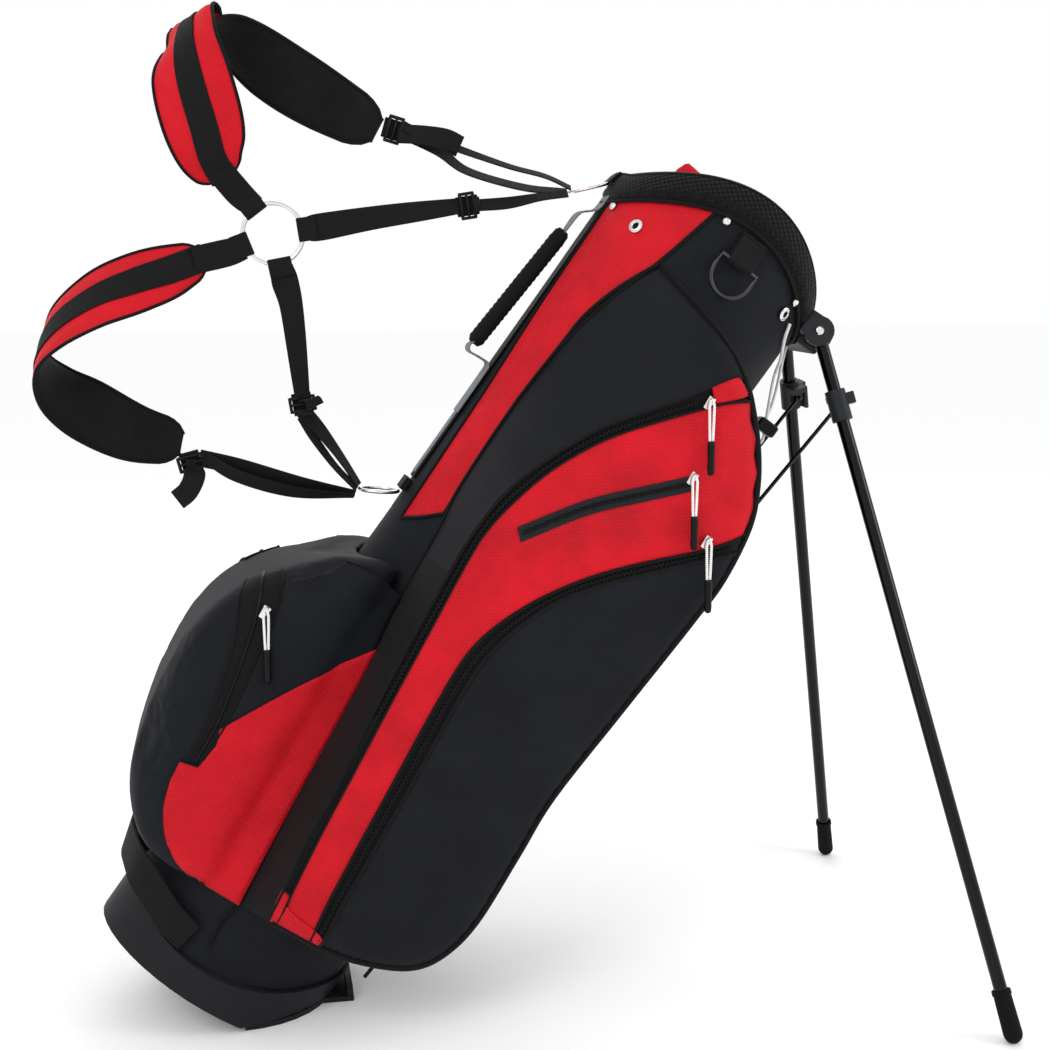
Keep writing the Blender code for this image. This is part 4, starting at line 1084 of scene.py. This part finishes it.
for word, side in SIDES:
    place = BAG @ leg_frame(side)
    length = 0.6812 - 0.030
    turned("leg_" + word + "_tube", [(0.0, 0.0072), (0.005, 0.007), (0.0064, 0.0058),
                                     (0.0064, -length + 0.0006),
                                     (0.0058, -length), (0.0, -length)],
           LEG_PAINT, "leg_finish", place, "leg_" + word, replaces=["leg_tube_" + word])
    turned("leg_" + word + "_tip_band", [(0.0072, -length + 0.0115), (0.009, -length + 0.011),
                                         (0.0092, -length + 0.007),
                                         (0.0086, -length + 0.0066), (0.0072, -length + 0.0066),
                                         (0.0072, -length + 0.0115)],
           RUBBER, "rubber_tip", place, "leg_" + word)
    for label, y, radius in (("outer", -0.0142, 0.0044), ("inner", 0.0122, 0.004)):
        turned(f"leg_{word}_screw_{label}", [(0, 0.0026 if y < 0 else -0.0026),
                                             (radius * 0.7, 0.0022 if y < 0 else -0.0022),
                                             (radius, 0.0006 if y < 0 else -0.0006),
                                             (radius, -0.0016 if y < 0 else 0.0016),
                                             (0, -0.0016 if y < 0 else 0.0016)],
               NICKEL, "bright_steel",
               place @ Matrix.Translation((0, y, 0)) @ Matrix.Rotation(math.radians(90), 4, "X"), ROOT, 18)
print("legs", round(0.6812 + 0.009, 3), "m")

# %% [markdown]
# ## Rivets, eyelets and the towel tab
#
# Dome rivets and open eyelets are turned profiles set square to the cloth they pass through. Each
# eyelet's hole is filled with a flat dark disc in the rubber finish, painted shade in the hole.

# %% Rivets and eyelets
def facing(point, out):
    """A place whose z axis looks out along that direction."""
    return Matrix.Translation(point) @ Vector(out).to_track_quat("Z", "Y").to_matrix().to_4x4()


RIVET = [(0.0, 0.0026), (0.0018, 0.0022), (0.0034, 0.0012), (0.004, 0.0002), (0.0036, -0.001), (0.0, -0.001)]
EYELET = [(0.003, 0.0003), (0.0038, 0.0014), (0.0052, 0.0012), (0.0066, 0.0002), (0.0062, -0.0006),
          (0.003, -0.0006),
          (0.003, 0.0003)]


def out_of_tube(angle):
    turn = math.radians(angle)
    return Vector((-math.cos(turn) / HALF_A, -math.sin(turn) / HALF_Y, 0)).normalized()


for word, side in SIDES:
    for n, (angle, u) in enumerate(((17, 0.832), (76, 0.8735), (132, 0.858))):
        turn = angle if side < 0 else 360 - angle
        turned(f"rivet_{n + 1}_{word}", RIVET, NICKEL, "bright_steel",
               BAG @ facing(on_tube(turn, u, 0.0026), out_of_tube(turn)), steps=20)
    for n, (angle, u) in enumerate(((39.7, 0.825), (131, 0.843))):
        turn = angle if side < 0 else 360 - angle
        turned(f"eyelet_{n + 1}_{word}", EYELET, NICKEL, "bright_steel",
               BAG @ facing(on_tube(turn, u, 0.0016), out_of_tube(turn)), steps=24)
        # A flat dark disc across each eyelet's hole: painted shade where the hole opens into the bag.
        turned(f"eyelet_{n + 1}_hole_{word}", [(0.0, 0.0004), (0.0031, 0.0004), (0.0031, -0.0004),
                                               (0.0, -0.0004)], RUBBER, "rubber_tip",
               BAG @ facing(on_tube(turn, u, 0.0014), out_of_tube(turn)), steps=16)
print("rivets and eyelets")


# %% Towel ring and its folded tab
RING_BAR = Vector((-0.046, -0.0986, 0.848))
ring = [Vector((0.020, 0, 0)), Vector((0, 0, 0)), Vector((-0.020, 0, 0))]
for k in range(17):
    angle = math.pi + math.pi * k / 16
    ring.append(Vector((0.020 * math.cos(angle), 0, -0.012 + 0.020 * math.sin(angle))))
tube("towel_d_ring", [RING_BAR + p for p in ring], 0.0021, DARK_STEEL, "gloss_plastic", 12, closed=True,
     body="towel_ring", replaces=["towel_ring"])
strip("towel_tab_fold", [((-0.046, -0.0975, 0.872), (1, 0, 0), 0.026),
                         ((-0.046, -0.099, 0.860), (1, 0, 0), 0.026),
                         ((-0.046, -0.101, 0.852), (1, 0, 0), 0.026),
                         ((-0.046, -0.102, 0.8475), (1, 0, 0), 0.026),
                         ((-0.046, -0.0995, 0.8448), (1, 0, 0), 0.026),
                         ((-0.046, -0.0965, 0.847), (1, 0, 0), 0.026),
                         ((-0.046, -0.0958, 0.856), (1, 0, 0), 0.026)], 0.0013, WEBBING, "webbing")
print("towel ring")

# %% [markdown]
# ## Spine and handle
#
# A ridged strip lies on the spine under the handle; its grey is a painted highlight along the
# spine's raised edge. The grip is a wrapped roll between two grey webbing ends, sewn to the spine
# with the loose ends turned back.

# %% Spine and handle
SPINE = BODY_A - HALF_A
strip("spine_tape", [((SPINE - 0.0008, 0, 0.835), (0, 1, 0), 0.022),
                     ((SPINE - 0.0008, 0, 0.700), (0, 1, 0), 0.022),
                     ((SPINE - 0.0008, 0, 0.515), (0, 1, 0), 0.022)], 0.0016, TAPE, "webbing", steps=14)
# This strip's grey is a painted highlight along the raised edge of the spine.
strip("spine_strip", [((SPINE - 0.0022, 0, 0.590), (0, 1, 0), 0.013),
                      ((SPINE - 0.0022, 0, 0.560), (0, 1, 0), 0.013),
                      ((SPINE - 0.0022, 0, 0.520), (0, 1, 0), 0.013)], 0.0016, GREY_TAPE, "webbing", steps=14)
strip("far_lift_tab", [((-0.0905, 0.080, 0.880), (1, 0, -0.05), 0.034),
                       ((-0.0905, 0.079, 0.905), (1, 0, -0.05), 0.038),
                       ((-0.0905, 0.078, 0.919), (1, 0, -0.05), 0.038),
                       ((-0.0905, 0.074, 0.9275), (1, 0, -0.05), 0.030),
                       ((-0.0905, 0.070, 0.919), (1, 0, -0.05), 0.038),
                       ((-0.0905, 0.069, 0.880), (1, 0, -0.05), 0.034)],
      0.003, PAD_RED, "red_cloth", steps=6)
grip = [(0.0, 0.0), (0.0052, 0.0004), (0.0074, 0.004)]
grip += [(0.008 + 0.0003 * math.cos(k * math.pi), 0.006 + 0.003 * k) for k in range(42)]
grip += [(0.0074, 0.1345), (0.0052, 0.1378), (0.0, 0.138)]
top, bottom = Vector((-0.1805, 0, 0.790)), Vector((-0.1895, 0, 0.652))
turned("grip_roll", grip, PAD_BLACK, "mesh_cloth", BAG @ facing(bottom, top - bottom), steps=24,
       replaces=["handle_grip"])
strip("handle_end_top", [((-0.1795, 0, 0.786), (0, 1, 0), 0.010), ((-0.180, 0, 0.796), (0, 1, 0), 0.020),
                         ((-0.1785, 0, 0.812), (0, 1, 0), 0.025),
                         ((SPINE - 0.0042, 0, 0.824), (0, 1, 0), 0.025),
                         ((SPINE - 0.003, 0, 0.842), (0, 1, 0), 0.025)],
      0.0018, GREY_TAPE, "webbing", replaces=["handle_web_top"])
strip("handle_end_bottom", [((-0.1893, 0, 0.656), (0, 1, 0), 0.010),
                            ((-0.1925, 0, 0.649), (0, 1, 0), 0.020), ((-0.189, 0, 0.644), (0, 1, 0), 0.025),
                            ((-0.178, 0, 0.645), (0, 1, 0), 0.025),
                            ((SPINE - 0.004, 0, 0.644), (0, 1, 0), 0.025),
                            ((SPINE - 0.0026, 0, 0.630), (0, 1, 0), 0.025),
                            ((SPINE - 0.0026, 0, 0.590), (0, 1, 0), 0.025)],
      0.0018, GREY_TAPE, "webbing", replaces=["handle_web_bottom"])
loop = [((-0.101, -0.089, 0.050), (0.0, 0.0, 1.0), 0.030), ((-0.125, -0.080, 0.054), (-0.1, 0, 1.0), 0.032),
        ((-0.150, -0.066, 0.062), (-0.2, 0, 1.0), 0.034), ((-0.174, -0.048, 0.070), (-0.3, 0, 1.0), 0.036),
        ((-0.187, -0.020, 0.074), (-0.3, 0, 1.0), 0.036), ((-0.190, 0.0, 0.075), (-0.3, 0, 1.0), 0.036)]
loop += [((p[0], -p[1], p[2]), w, size) for p, w, size in reversed(loop[:-1])]
strip("grab_loop", loop, 0.0022, WEBBING, "webbing", steps=8, replaces=["base_grab_loop"])
print("spine, handle and grab loop")

# %% [markdown]
# ## Elastic cord
#
# Two white elastic strands come from the near eyelet and from under the yoke, and meet in a dark
# keeper, with a short knotted tail.

# %% Cord
KEEPER = Vector((0.096, -0.0085, 0.755))
near_route = [(0.0375, -0.062, 0.840), (0.045, -0.053, 0.827), (0.060, -0.034, 0.812), (0.070, -0.020, 0.796),
              (KEEPER.x - 0.0052, -0.012, KEEPER.z + 0.006)]
middle_route = [(0.069, 0.004, 0.8325), (0.074, 0.004, 0.820), (0.085, 0.002, 0.795), (0.090, -0.002, 0.778),
                (KEEPER.x - 0.003, -0.005, KEEPER.z + 0.006)]
tube("elastic_near", curve(near_route, 60), 0.0016, CORD, "cord", 10, replaces=["elastic_cord_near"])
tube("elastic_middle", curve(middle_route, 60), 0.0016, CORD, "cord", 10, replaces=["elastic_cord_middle"])
tube("elastic_tail", curve([(KEEPER.x + 0.001, -0.010, KEEPER.z - 0.004),
                            (KEEPER.x + 0.004, -0.012, KEEPER.z - 0.012),
                            (KEEPER.x + 0.003, -0.013, KEEPER.z - 0.022)], 20), 0.0015, CORD, "cord", 10)
print("elastic cord")

# %% [markdown]
# ## Zips
#
# Each slider is a rounded body with a bridge, on a coil of small teeth. The pull is a doubled white
# cord ending in a tapered moulded sleeve, and hangs straight down from its bridge.

# %% Coils
def coil(name, route, surface, lift=0.0016, pitch=0.0021):
    """A row of small teeth along a route, each a block."""
    route = [surface(p, lift) for p in route]
    length = sum((b - a).length for a, b in zip(route, route[1:]))
    spots = evenly(route, int(length / pitch))
    bm = bmesh.new()
    bm.verts.layers.float_vector.new("cloth")
    across = [Vector((0.4, 0.0, 0.9)).cross(Vector((0, 1, 0)))] * len(spots)
    for k, (spot, side, out) in enumerate(frames_along(spots, across)):
        turn = Matrix((side, out, side.cross(out))).transposed().to_4x4()
        turn.translation = spot + side * (0.0006 if k % 2 else -0.0006)
        bmesh.ops.create_cube(bm, size=1.0, matrix=turn @ Matrix.Diagonal((0.003, 0.0016, pitch * 0.62, 1)))
    bmesh.ops.recalc_face_normals(bm, faces=bm.faces)
    return make(name, bm, BUCKLE, "gloss_plastic")


def halfway(first, second, share=0.5, count=80):
    return [p.lerp(q, share) for p, q in zip(curve(first, count), curve(second, count))]


VALUABLES = [(0.0235, 0.660), (-0.010, 0.624), (-0.045, 0.585), (-0.080, 0.533)]
for word, side in SIDES:
    front = on_front(side)
    coil("upper_teeth_" + word, halfway(ZIP_OUTER[:8], ZIP_INNER[:10], 0.55)[9:], front)
    coil("low_teeth_" + word, halfway(LOW_OUTER, LOW_INNER)[2:], front, 0.0012)
    wide = [(Vector(p), 0.006) for p in curve(VALUABLES, 40)]
    left = [p + Vector((-0.0052, 0.0046)) for p, _ in wide]
    right = [p + Vector((0.0052, -0.0046)) for p, _ in wide]
    panel("valuables_zip_bed_" + word, [left, right, None, None], front, WELDED, "moulded_plastic",
          lift=0.0016, columns=8, rows=50)
    coil("valuables_teeth_" + word, [p for p, _ in wide][1:-1], front, 0.0026, 0.0017)
print("zip teeth")


# %% Sliders and pulls
def slider(name, place, face):
    """The bevelled body, its nose, and the bridge that the pull swings from."""
    at = BAG @ Matrix.Translation((place[0], -face, place[1]))
    bm = bmesh.new()
    block = Matrix.Translation((0, -0.0031, -0.002)) @ Matrix.Diagonal((0.0078, 0.0042, 0.0124, 1))
    body = bmesh.ops.create_cube(bm, size=1.0, matrix=block)
    for vert in body["verts"]:
        if vert.co.z < -0.003:
            vert.co.x *= 0.70
    bmesh.ops.bevel(bm, geom=bm.verts[:] + bm.edges[:], offset=0.0011, segments=2, affect="EDGES",
                    profile=0.5, material=-1)
    route = [Vector((0, -0.0046, 0.0034)), Vector((0, -0.007, 0.0028)), Vector((0, -0.0078, 0.0006)),
             Vector((0, -0.0066, -0.002)), Vector((0, -0.0046, -0.0026))]
    first, end = carry(bm, strip_rings(smooth_route(route, 4), [Vector((1, 0, 0))] * 17,
                                       lambda t: flat_section(0.003, 0.0009)))
    cap(bm, first)
    cap(bm, end)
    bmesh.ops.recalc_face_normals(bm, faces=bm.faces)
    return make(name + "_slider_body", bm, NICKEL, "bright_steel", name, [name + "_slider"], 35, at)


def pull(name, place, face):
    at = BAG @ Matrix.Translation((place[0], -face,
                                   place[1])) @ Matrix.Translation((0, -0.0092,
                                                                    0)) @ Matrix.Rotation(-LEAN, 4, "Y")
    body = name + "_pull"
    tube(name + "_pull_cord", [Vector(p) for p in ((-0.0012, 0, -0.0385), (-0.0016, 0, -0.028),
                                                   (-0.002, 0, -0.014), (-0.0022, 0, -0.004),
                                                   (-0.0012, 0, 0.0008), (0, 0.0002, 0.002),
                                                   (0.0012, 0, 0.0008), (0.0022, 0, -0.004),
                                                   (0.002, 0, -0.014), (0.0016, 0, -0.028),
                                                   (0.0012, 0, -0.0385))],
         0.00125, CORD, "cord", 8, body=body, place=at)
    turned(name + "_pull_tip", [(0, -0.035), (0.0024, -0.035), (0.0033, -0.0362), (0.0035, -0.040),
                                (0.0031, -0.052), (0.0034, -0.060),
                                (0.003, -0.0645), (0.0016, -0.066), (0, -0.0662)], BUCKLE, "gloss_plastic",
           at, body, 14, [name + "_pull"])


for name, place, face in (("zip_upper", (-0.008, 0.728), 0.142), ("zip_valuables", (0.020, 0.665), 0.142),
                          ("zip_apparel", (0.066, 0.626), 0.142), ("zip_ball", (-0.218, 0.345), 0.088)):
    slider(name, place, face)
    pull(name, place, face)
print("four sliders and pulls")

# %% [markdown]
# ## Shoulder harness
#
# Two pads, red outside and black inside, meet at a bright ring. Each pad carries a black webbing
# stripe down its middle and piping round its edge. Ladder-lock buckles gather the straps, which
# run as thin twisted webbing to oval rings on the spine.

# %% Pads
def pad(name, stations, node):
    """A crowned pad with rounded ends: red on the outer face, black on the inner one."""
    steps = 8
    route = smooth_route([s[0] for s in stations], steps)
    across = smooth_route([Vector(s[1]).normalized() for s in stations], steps)
    widths = [w.x for w in smooth_route([(s[2], 0, 0) for s in stations], steps)]
    last = len(route) - 1
    frames = frames_along(route, across)
    half = PAD_HALF
    sides = 10

    def section(t):
        k = round(t * last)
        end = min(1.0, math.sqrt(max(0.0, min(t, 1 - t) / 0.035)))
        w = widths[k] / 2 * (0.45 + 0.55 * end)
        h = half * (0.55 + 0.45 * end)
        points = []
        for n in range(sides + 1):
            s = -1 + 2 * n / sides
            lift = h * (1 - abs(s) ** 3.0) ** 0.5 * 0.95
            stitch = 1 - 0.16 * math.exp(-((abs(s) - 0.45) / 0.05) ** 2)
            points.append((s * w * 0.985, -lift * stitch))
        for n in range(sides - 1, 0, -1):
            s = -1 + 2 * n / sides
            points.append((s * w * 0.985, h * (1 - abs(s) ** 3.0) ** 0.5 * 0.75))
        return points

    rings = strip_rings(route, across, section)
    bm = bmesh.new()
    first, end = carry(bm, rings)
    cap(bm, first)
    cap(bm, end)
    bmesh.ops.recalc_face_normals(bm, faces=bm.faces)
    bm.normal_update()
    for face in bm.faces:
        centre = face.calc_center_median()
        k = min(range(last + 1), key=lambda i: (frames[i][0] - centre).length_squared)
        face.material_index = 0 if face.normal.dot(frames[k][2]) < -0.1 else 1
    piece = make(name, bm, [PAD_RED, PAD_BLACK], "red_cloth", replaces=[node], sharp=70)
    for side, word in ((-1, "left"), (1, "right")):
        round_off = [0.45 + 0.55 * min(1.0, math.sqrt(min(k, last - k) / last / 0.035)) for k in range(last + 1)]
        edge = [frames[k][0] + frames[k][1] * side * (widths[k] / 2) * round_off[k] for k in range(last + 1)]
        tube(f"{name}_piping_{word}", edge, 0.0016, TAPE, "webbing", 8)
    return route, across, frames, widths


PAD_HALF = 0.0045
UPPER_PAD = [
    ((-0.464, -0.006, 0.640), (-0.30, 0.0, -0.95), 0.034),
    ((-0.483, -0.014, 0.650), (-0.60, 0.0, -0.80), 0.058),
    ((-0.503, -0.018, 0.667), (-0.75, 0.0, -0.65), 0.070),
    ((-0.536, -0.020, 0.696), (-0.80, 0.35, -0.60), 0.072),
    ((-0.557, -0.010, 0.722), (-0.50, 0.80, -0.30), 0.068),
    ((-0.562, 0.012, 0.741), (-0.10, 1.00, -0.10), 0.064),
    ((-0.532, 0.026, 0.750), (0.10, 0.85, -0.60), 0.062),
    ((-0.484, 0.026, 0.750), (0.10, 0.40, -0.95), 0.060),
    ((-0.437, 0.018, 0.753), (0.15, 0.20, -1.00), 0.056),
    ((-0.376, 0.008, 0.760), (0.25, 0.10, -1.00), 0.042)]
LOWER_PAD = [
    ((-0.439, -0.006, 0.571), (0.65, -0.10, -0.75), 0.028),
    ((-0.456, -0.016, 0.544), (0.65, -0.20, -0.60), 0.046),
    ((-0.474, -0.024, 0.518), (0.65, -0.40, -0.50), 0.056),
    ((-0.494, -0.026, 0.485), (0.60, -0.70, -0.40), 0.064),
    ((-0.507, -0.024, 0.446), (0.45, -0.90, -0.25), 0.066),
    ((-0.503, -0.018, 0.412), (0.10, -1.00, -0.20), 0.064),
    ((-0.478, -0.012, 0.397), (-0.20, -0.80, -0.55), 0.062),
    ((-0.443, -0.006, 0.396), (-0.40, -0.40, -0.80), 0.058),
    ((-0.401, 0.000, 0.401), (-0.45, -0.20, -0.80), 0.052),
    ((-0.359, 0.000, 0.418), (-0.50, -0.10, -0.80), 0.038)]
for name, stations, node in (("upper_pad", UPPER_PAD, "shoulder_pad_upper"),
                             ("lower_pad", LOWER_PAD, "shoulder_pad_lower")):
    route, across, frames, widths = pad(name, stations, node)
    stripe = []
    for k, (place, side, out) in enumerate(frames):
        stripe.append((place - out * (PAD_HALF * 0.98 + 0.0004), side, 0.025))
    route = [s[0] for s in stripe]
    bm = bmesh.new()
    first, end = carry(bm, strip_rings(route, [s[1] for s in stripe], lambda t: flat_section(0.025, 0.0016)))
    cap(bm, first)
    cap(bm, end)
    tidy_shell(bm)
    make(name + "_stripe", bm, WEBBING, "webbing")
print("two pads")

# %% Straps
WEB = 0.025
STRAPS = {
    "strap_ring_to_upper_pad": [((-0.427, -0.001, 0.636), (0.30, 0, 0.95), 0.021),
                                ((-0.445, -0.0055, 0.6375), (0.20, 0, 0.95), WEB),
                                ((-0.472, -0.0155, 0.644), (0.35, 0, 0.95), WEB)],
    "strap_ring_to_lower_pad": [((-0.414, -0.001, 0.600), (0.70, 0, -0.70), 0.021),
                                ((-0.424, -0.004, 0.587), (0.70, 0, -0.75), WEB),
                                ((-0.444, -0.016, 0.564), (0.62, 0, -0.77), WEB)],
    "strap_ring_to_right_buckle": [((-0.379, 0.0, 0.6465), (-0.70, 0, 0.70), 0.021),
                                   ((-0.368, 0.0, 0.657), (-0.70, 0, 0.70), WEB),
                                   ((-0.330, 0.0, 0.696), (-0.70, 0, 0.70), WEB * 0.85),
                                   ((-0.276, 0.0, 0.748), (-0.62, 0.50, 0.55), WEB * 0.7)],
    "strap_ring_to_down_buckle": [((-0.377, 0.0, 0.606), (0.60, 0, 0.75), 0.021),
                                  ((-0.366, 0.0, 0.596), (0.62, 0, 0.72), WEB),
                                  ((-0.345, 0.0, 0.577), (0.65, 0, 0.70), WEB * 0.85),
                                  ((-0.293, 0.0, 0.518), (0.60, 0.50, 0.50), WEB * 0.7)],
    "strap_upper_pad_to_top": [((-0.360, 0.008, 0.7745), (0, 0.3, 1), 0.018),
                               ((-0.320, 0.008, 0.780), (0, 0.8, 0.8), 0.018),
                               ((-0.287, 0.008, 0.7805), (0, 0.9, 0.5), 0.018),
                               ((-0.235, 0.006, 0.800), (-0.1, 0.9, 0.4), 0.018),
                               ((-0.199, 0.005, 0.822), (-0.1, 0.9, 0.4), 0.013)],
    "strap_right_buckle_to_top": [((-0.264, -0.003, 0.7575), (-0.4, 0.7, 0.6), 0.016),
                                  ((-0.240, -0.006, 0.778), (-0.4, 0.7, 0.6), 0.016),
                                  ((-0.219, -0.009, 0.800), (-0.4, 0.9, 0.4), 0.014),
                                  ((-0.1995, -0.011, 0.818), (-0.4, 0.9, 0.4), 0.012)],
    "strap_down_buckle_to_middle": [((-0.284, 0.003, 0.507), (0.4, 0.6, 0.6), 0.018),
                                    ((-0.260, 0.008, 0.501), (0.4, 0.8, 0.6), 0.018),
                                    ((-0.228, 0.008, 0.490), (0.3, 0.9, 0.4), 0.016),
                                    ((-0.200, 0.006, 0.4785), (0.1, 0.9, 0.4), 0.013)],
    "strap_lower_pad_to_middle": [((-0.338, -0.003, 0.416), (-0.2, -0.3, 0.9), 0.018),
                                  ((-0.303, -0.008, 0.431), (-0.3, -0.4, 0.8), 0.018),
                                  ((-0.250, -0.010, 0.449), (-0.4, -0.6, 0.8), 0.018),
                                  ((-0.201, -0.010, 0.472), (-0.2, -0.8, 0.3), 0.013)],
}
for node, stations in STRAPS.items():
    strip(node.replace("strap_", "webbing_"), stations, 0.0016, WEBBING, "webbing", steps=10, replaces=[node])
RETURNS = {
    "return_upper_pad": [((-0.356, 0.004, 0.778), (0, 0.3, 1), 0.010),
                         ((-0.320, 0.002, 0.787), (0, 0.8, 0.8), 0.012),
                         ((-0.260, 0.001, 0.806), (0, 0.9, 0.5), 0.012),
                         ((-0.225, 0.001, 0.820), (-0.1, 0.9, 0.4), 0.012),
                         ((-0.1985, 0.002, 0.826), (-0.1, 0.9, 0.4), 0.012)],
    "return_lower_pad": [((-0.334, -0.007, 0.420), (-0.2, -0.3, 0.9), 0.012),
                         ((-0.300, -0.014, 0.423), (-0.3, -0.4, 0.8), 0.014),
                         ((-0.250, -0.016, 0.440), (-0.4, -0.6, 0.8), 0.014),
                         ((-0.2005, -0.014, 0.469), (-0.2, -0.8, 0.3), 0.012)],
    "return_down": [((-0.283, 0.000, 0.502), (0.4, 0.6, 0.6), 0.012),
                    ((-0.262, 0.001, 0.492), (0.4, 0.8, 0.6), 0.012),
                    ((-0.230, 0.001, 0.481), (0.3, 0.9, 0.4), 0.012),
                    ((-0.2005, 0.001, 0.475), (0.1, 0.9, 0.4), 0.012)],
}
for name, stations in RETURNS.items():
    strip(name, stations, 0.0015, WEBBING, "webbing", steps=10)
TAILS = {
    "tail_upper_pad": [((-0.359, 0.005, 0.769), (0, 0.3, 1), 0.020),
                       ((-0.342, 0.001, 0.780), (0.2, 0.2, 1), 0.020),
                       ((-0.322, -0.002, 0.790), (0.2, 0.1, 1), 0.020),
                       ((-0.306, 0.001, 0.7935), (0.3, 0.1, 1), 0.020)],
    "tail_lower_pad": [((-0.342, -0.005, 0.412), (-0.7, 0.1, 0.7), 0.020),
                       ((-0.333, -0.008, 0.400), (-0.75, 0.1, 0.6), 0.020),
                       ((-0.330, -0.008, 0.385), (-0.85, 0.2, 0.4), 0.020),
                       ((-0.333, -0.007, 0.372), (-0.8, 0.3, 0.4), 0.020)],
    "tail_down_buckle": [((-0.288, 0.0, 0.516), (0.6, 0.5, 0.5), 0.017),
                         ((-0.285, -0.006, 0.521), (0.6, 0.3, 0.6), 0.017),
                         ((-0.278, -0.009, 0.518), (0.6, 0.2, 0.7), 0.017)],
}
for name, stations in TAILS.items():
    strip(name, stations, 0.0014, WEBBING, "webbing", steps=8)
print("eight straps and three tails")


# %% Ring loops of webbing, buckles and rings
def wrap(name, centre, turn, width):
    """Webbing folded round a ring's wire."""
    middle = Vector(centre)
    out = Vector((math.cos(turn), 0, math.sin(turn)))
    side = Vector((-math.sin(turn), 0, math.cos(turn)))
    stations = [(middle + out * 0.012 + Vector((0, -0.0022, 0)), side, width),
                (middle + out * 0.003 + Vector((0, -0.004, 0)), side, width),
                (middle - out * 0.0034 + Vector((0, -0.0026, 0)), side, width),
                (middle - out * 0.0042, side, width),
                (middle - out * 0.0034 + Vector((0, 0.0026, 0)), side, width),
                (middle + out * 0.003 + Vector((0, 0.004, 0)), side, width),
                (middle + out * 0.012 + Vector((0, 0.0022, 0)), side, width)]
    return strip(name, stations, 0.0016, WEBBING, "webbing", steps=5)


RING_CENTRE = Vector((-0.400, 0, 0.626))
RING_RADIUS = 0.0275
for word, turn in (("upper_pad", 163), ("lower_pad", 237), ("right", 44), ("down", -43)):
    angle = math.radians(turn)
    spot = RING_CENTRE + Vector((math.cos(angle), 0, math.sin(angle))) * RING_RADIUS
    wrap("ring_wrap_" + word, spot, angle, 0.022)
circle = [RING_CENTRE + Vector((RING_RADIUS * math.cos(a), 0, RING_RADIUS * math.sin(a)))
          for a in (2 * math.pi * k / 72 for k in range(72))]
tube("centre_ring", circle, 0.0022, NICKEL, "bright_steel", 14, closed=True, replaces=["harness_ring"])
for node, place, turn in (("attach_ring_top", (-0.1845, 0.0, 0.8365), 49),
                          ("attach_ring_middle", (-0.1825, 0.0, 0.486), 31)):
    at = Matrix.Translation(place) @ Matrix.Rotation(math.radians(-turn), 4, "Y")
    loop = [at @ Vector((0.0185 * math.cos(a), 0.015 * math.sin(a),
                         0)) for a in (2 * math.pi * k / 48 for k in range(48))]
    tube(node.replace("attach", "oval"), loop, 0.0018, NICKEL, "bright_steel", 12, closed=True,
         replaces=[node])


def ladder_lock(name, place, turn, node):
    """A frame with a bar across, a lifting tab at one end, and rounded corners."""
    bm = bmesh.new()
    blocks = (((0, 0, 0.0112), (0.015, 0.0044, 0.003)), ((0, 0, -0.0112), (0.015, 0.0044, 0.003)),
              ((0.0062, 0, 0), (0.003, 0.0044, 0.023)), ((-0.0062, 0, 0), (0.003, 0.0044, 0.023)),
              ((0.0, -0.0012, 0), (0.0024, 0.003, 0.022)), ((0.0096, -0.001, 0), (0.0048, 0.0026, 0.014)))
    for centre, size in blocks:
        bmesh.ops.create_cube(bm, size=1.0, matrix=Matrix.Translation(centre) @ Matrix.Diagonal((*size, 1)))
    piece = make(name, bm, BUCKLE, "gloss_plastic", replaces=[node],
                 place=BAG @ Matrix.Translation(place) @ Matrix.Rotation(math.radians(-turn), 4, "Y"))
    at = Matrix.Translation(place) @ Matrix.Rotation(math.radians(-turn), 4, "Y")
    threaded = [(at @ Vector((x, y, 0)), at.to_3x3() @ Vector((0, 0, 1)), 0.0185)
                for x, y in ((-0.0105, 0.0006), (-0.0045, 0.0012), (0.0, 0.0022), (0.0045, 0.0012),
                             (0.0105, 0.0006))]
    strip(name + "_webbing", threaded, 0.0016, WEBBING, "webbing")
    return soften(piece, 0.0009, 2)


for node, place, turn in (("buckle_upper_pad", (-0.364, 0.008, 0.770), 20),
                          ("buckle_right", (-0.269, -0.002, 0.7535), 45),
                          ("buckle_down", (-0.2885, 0.002, 0.512), -45),
                          ("buckle_lower_pad", (-0.342, -0.003, 0.408), -40)):
    ladder_lock(node.replace("buckle", "ladder_lock"), place, turn, node)
print("rings, wraps and buckles")
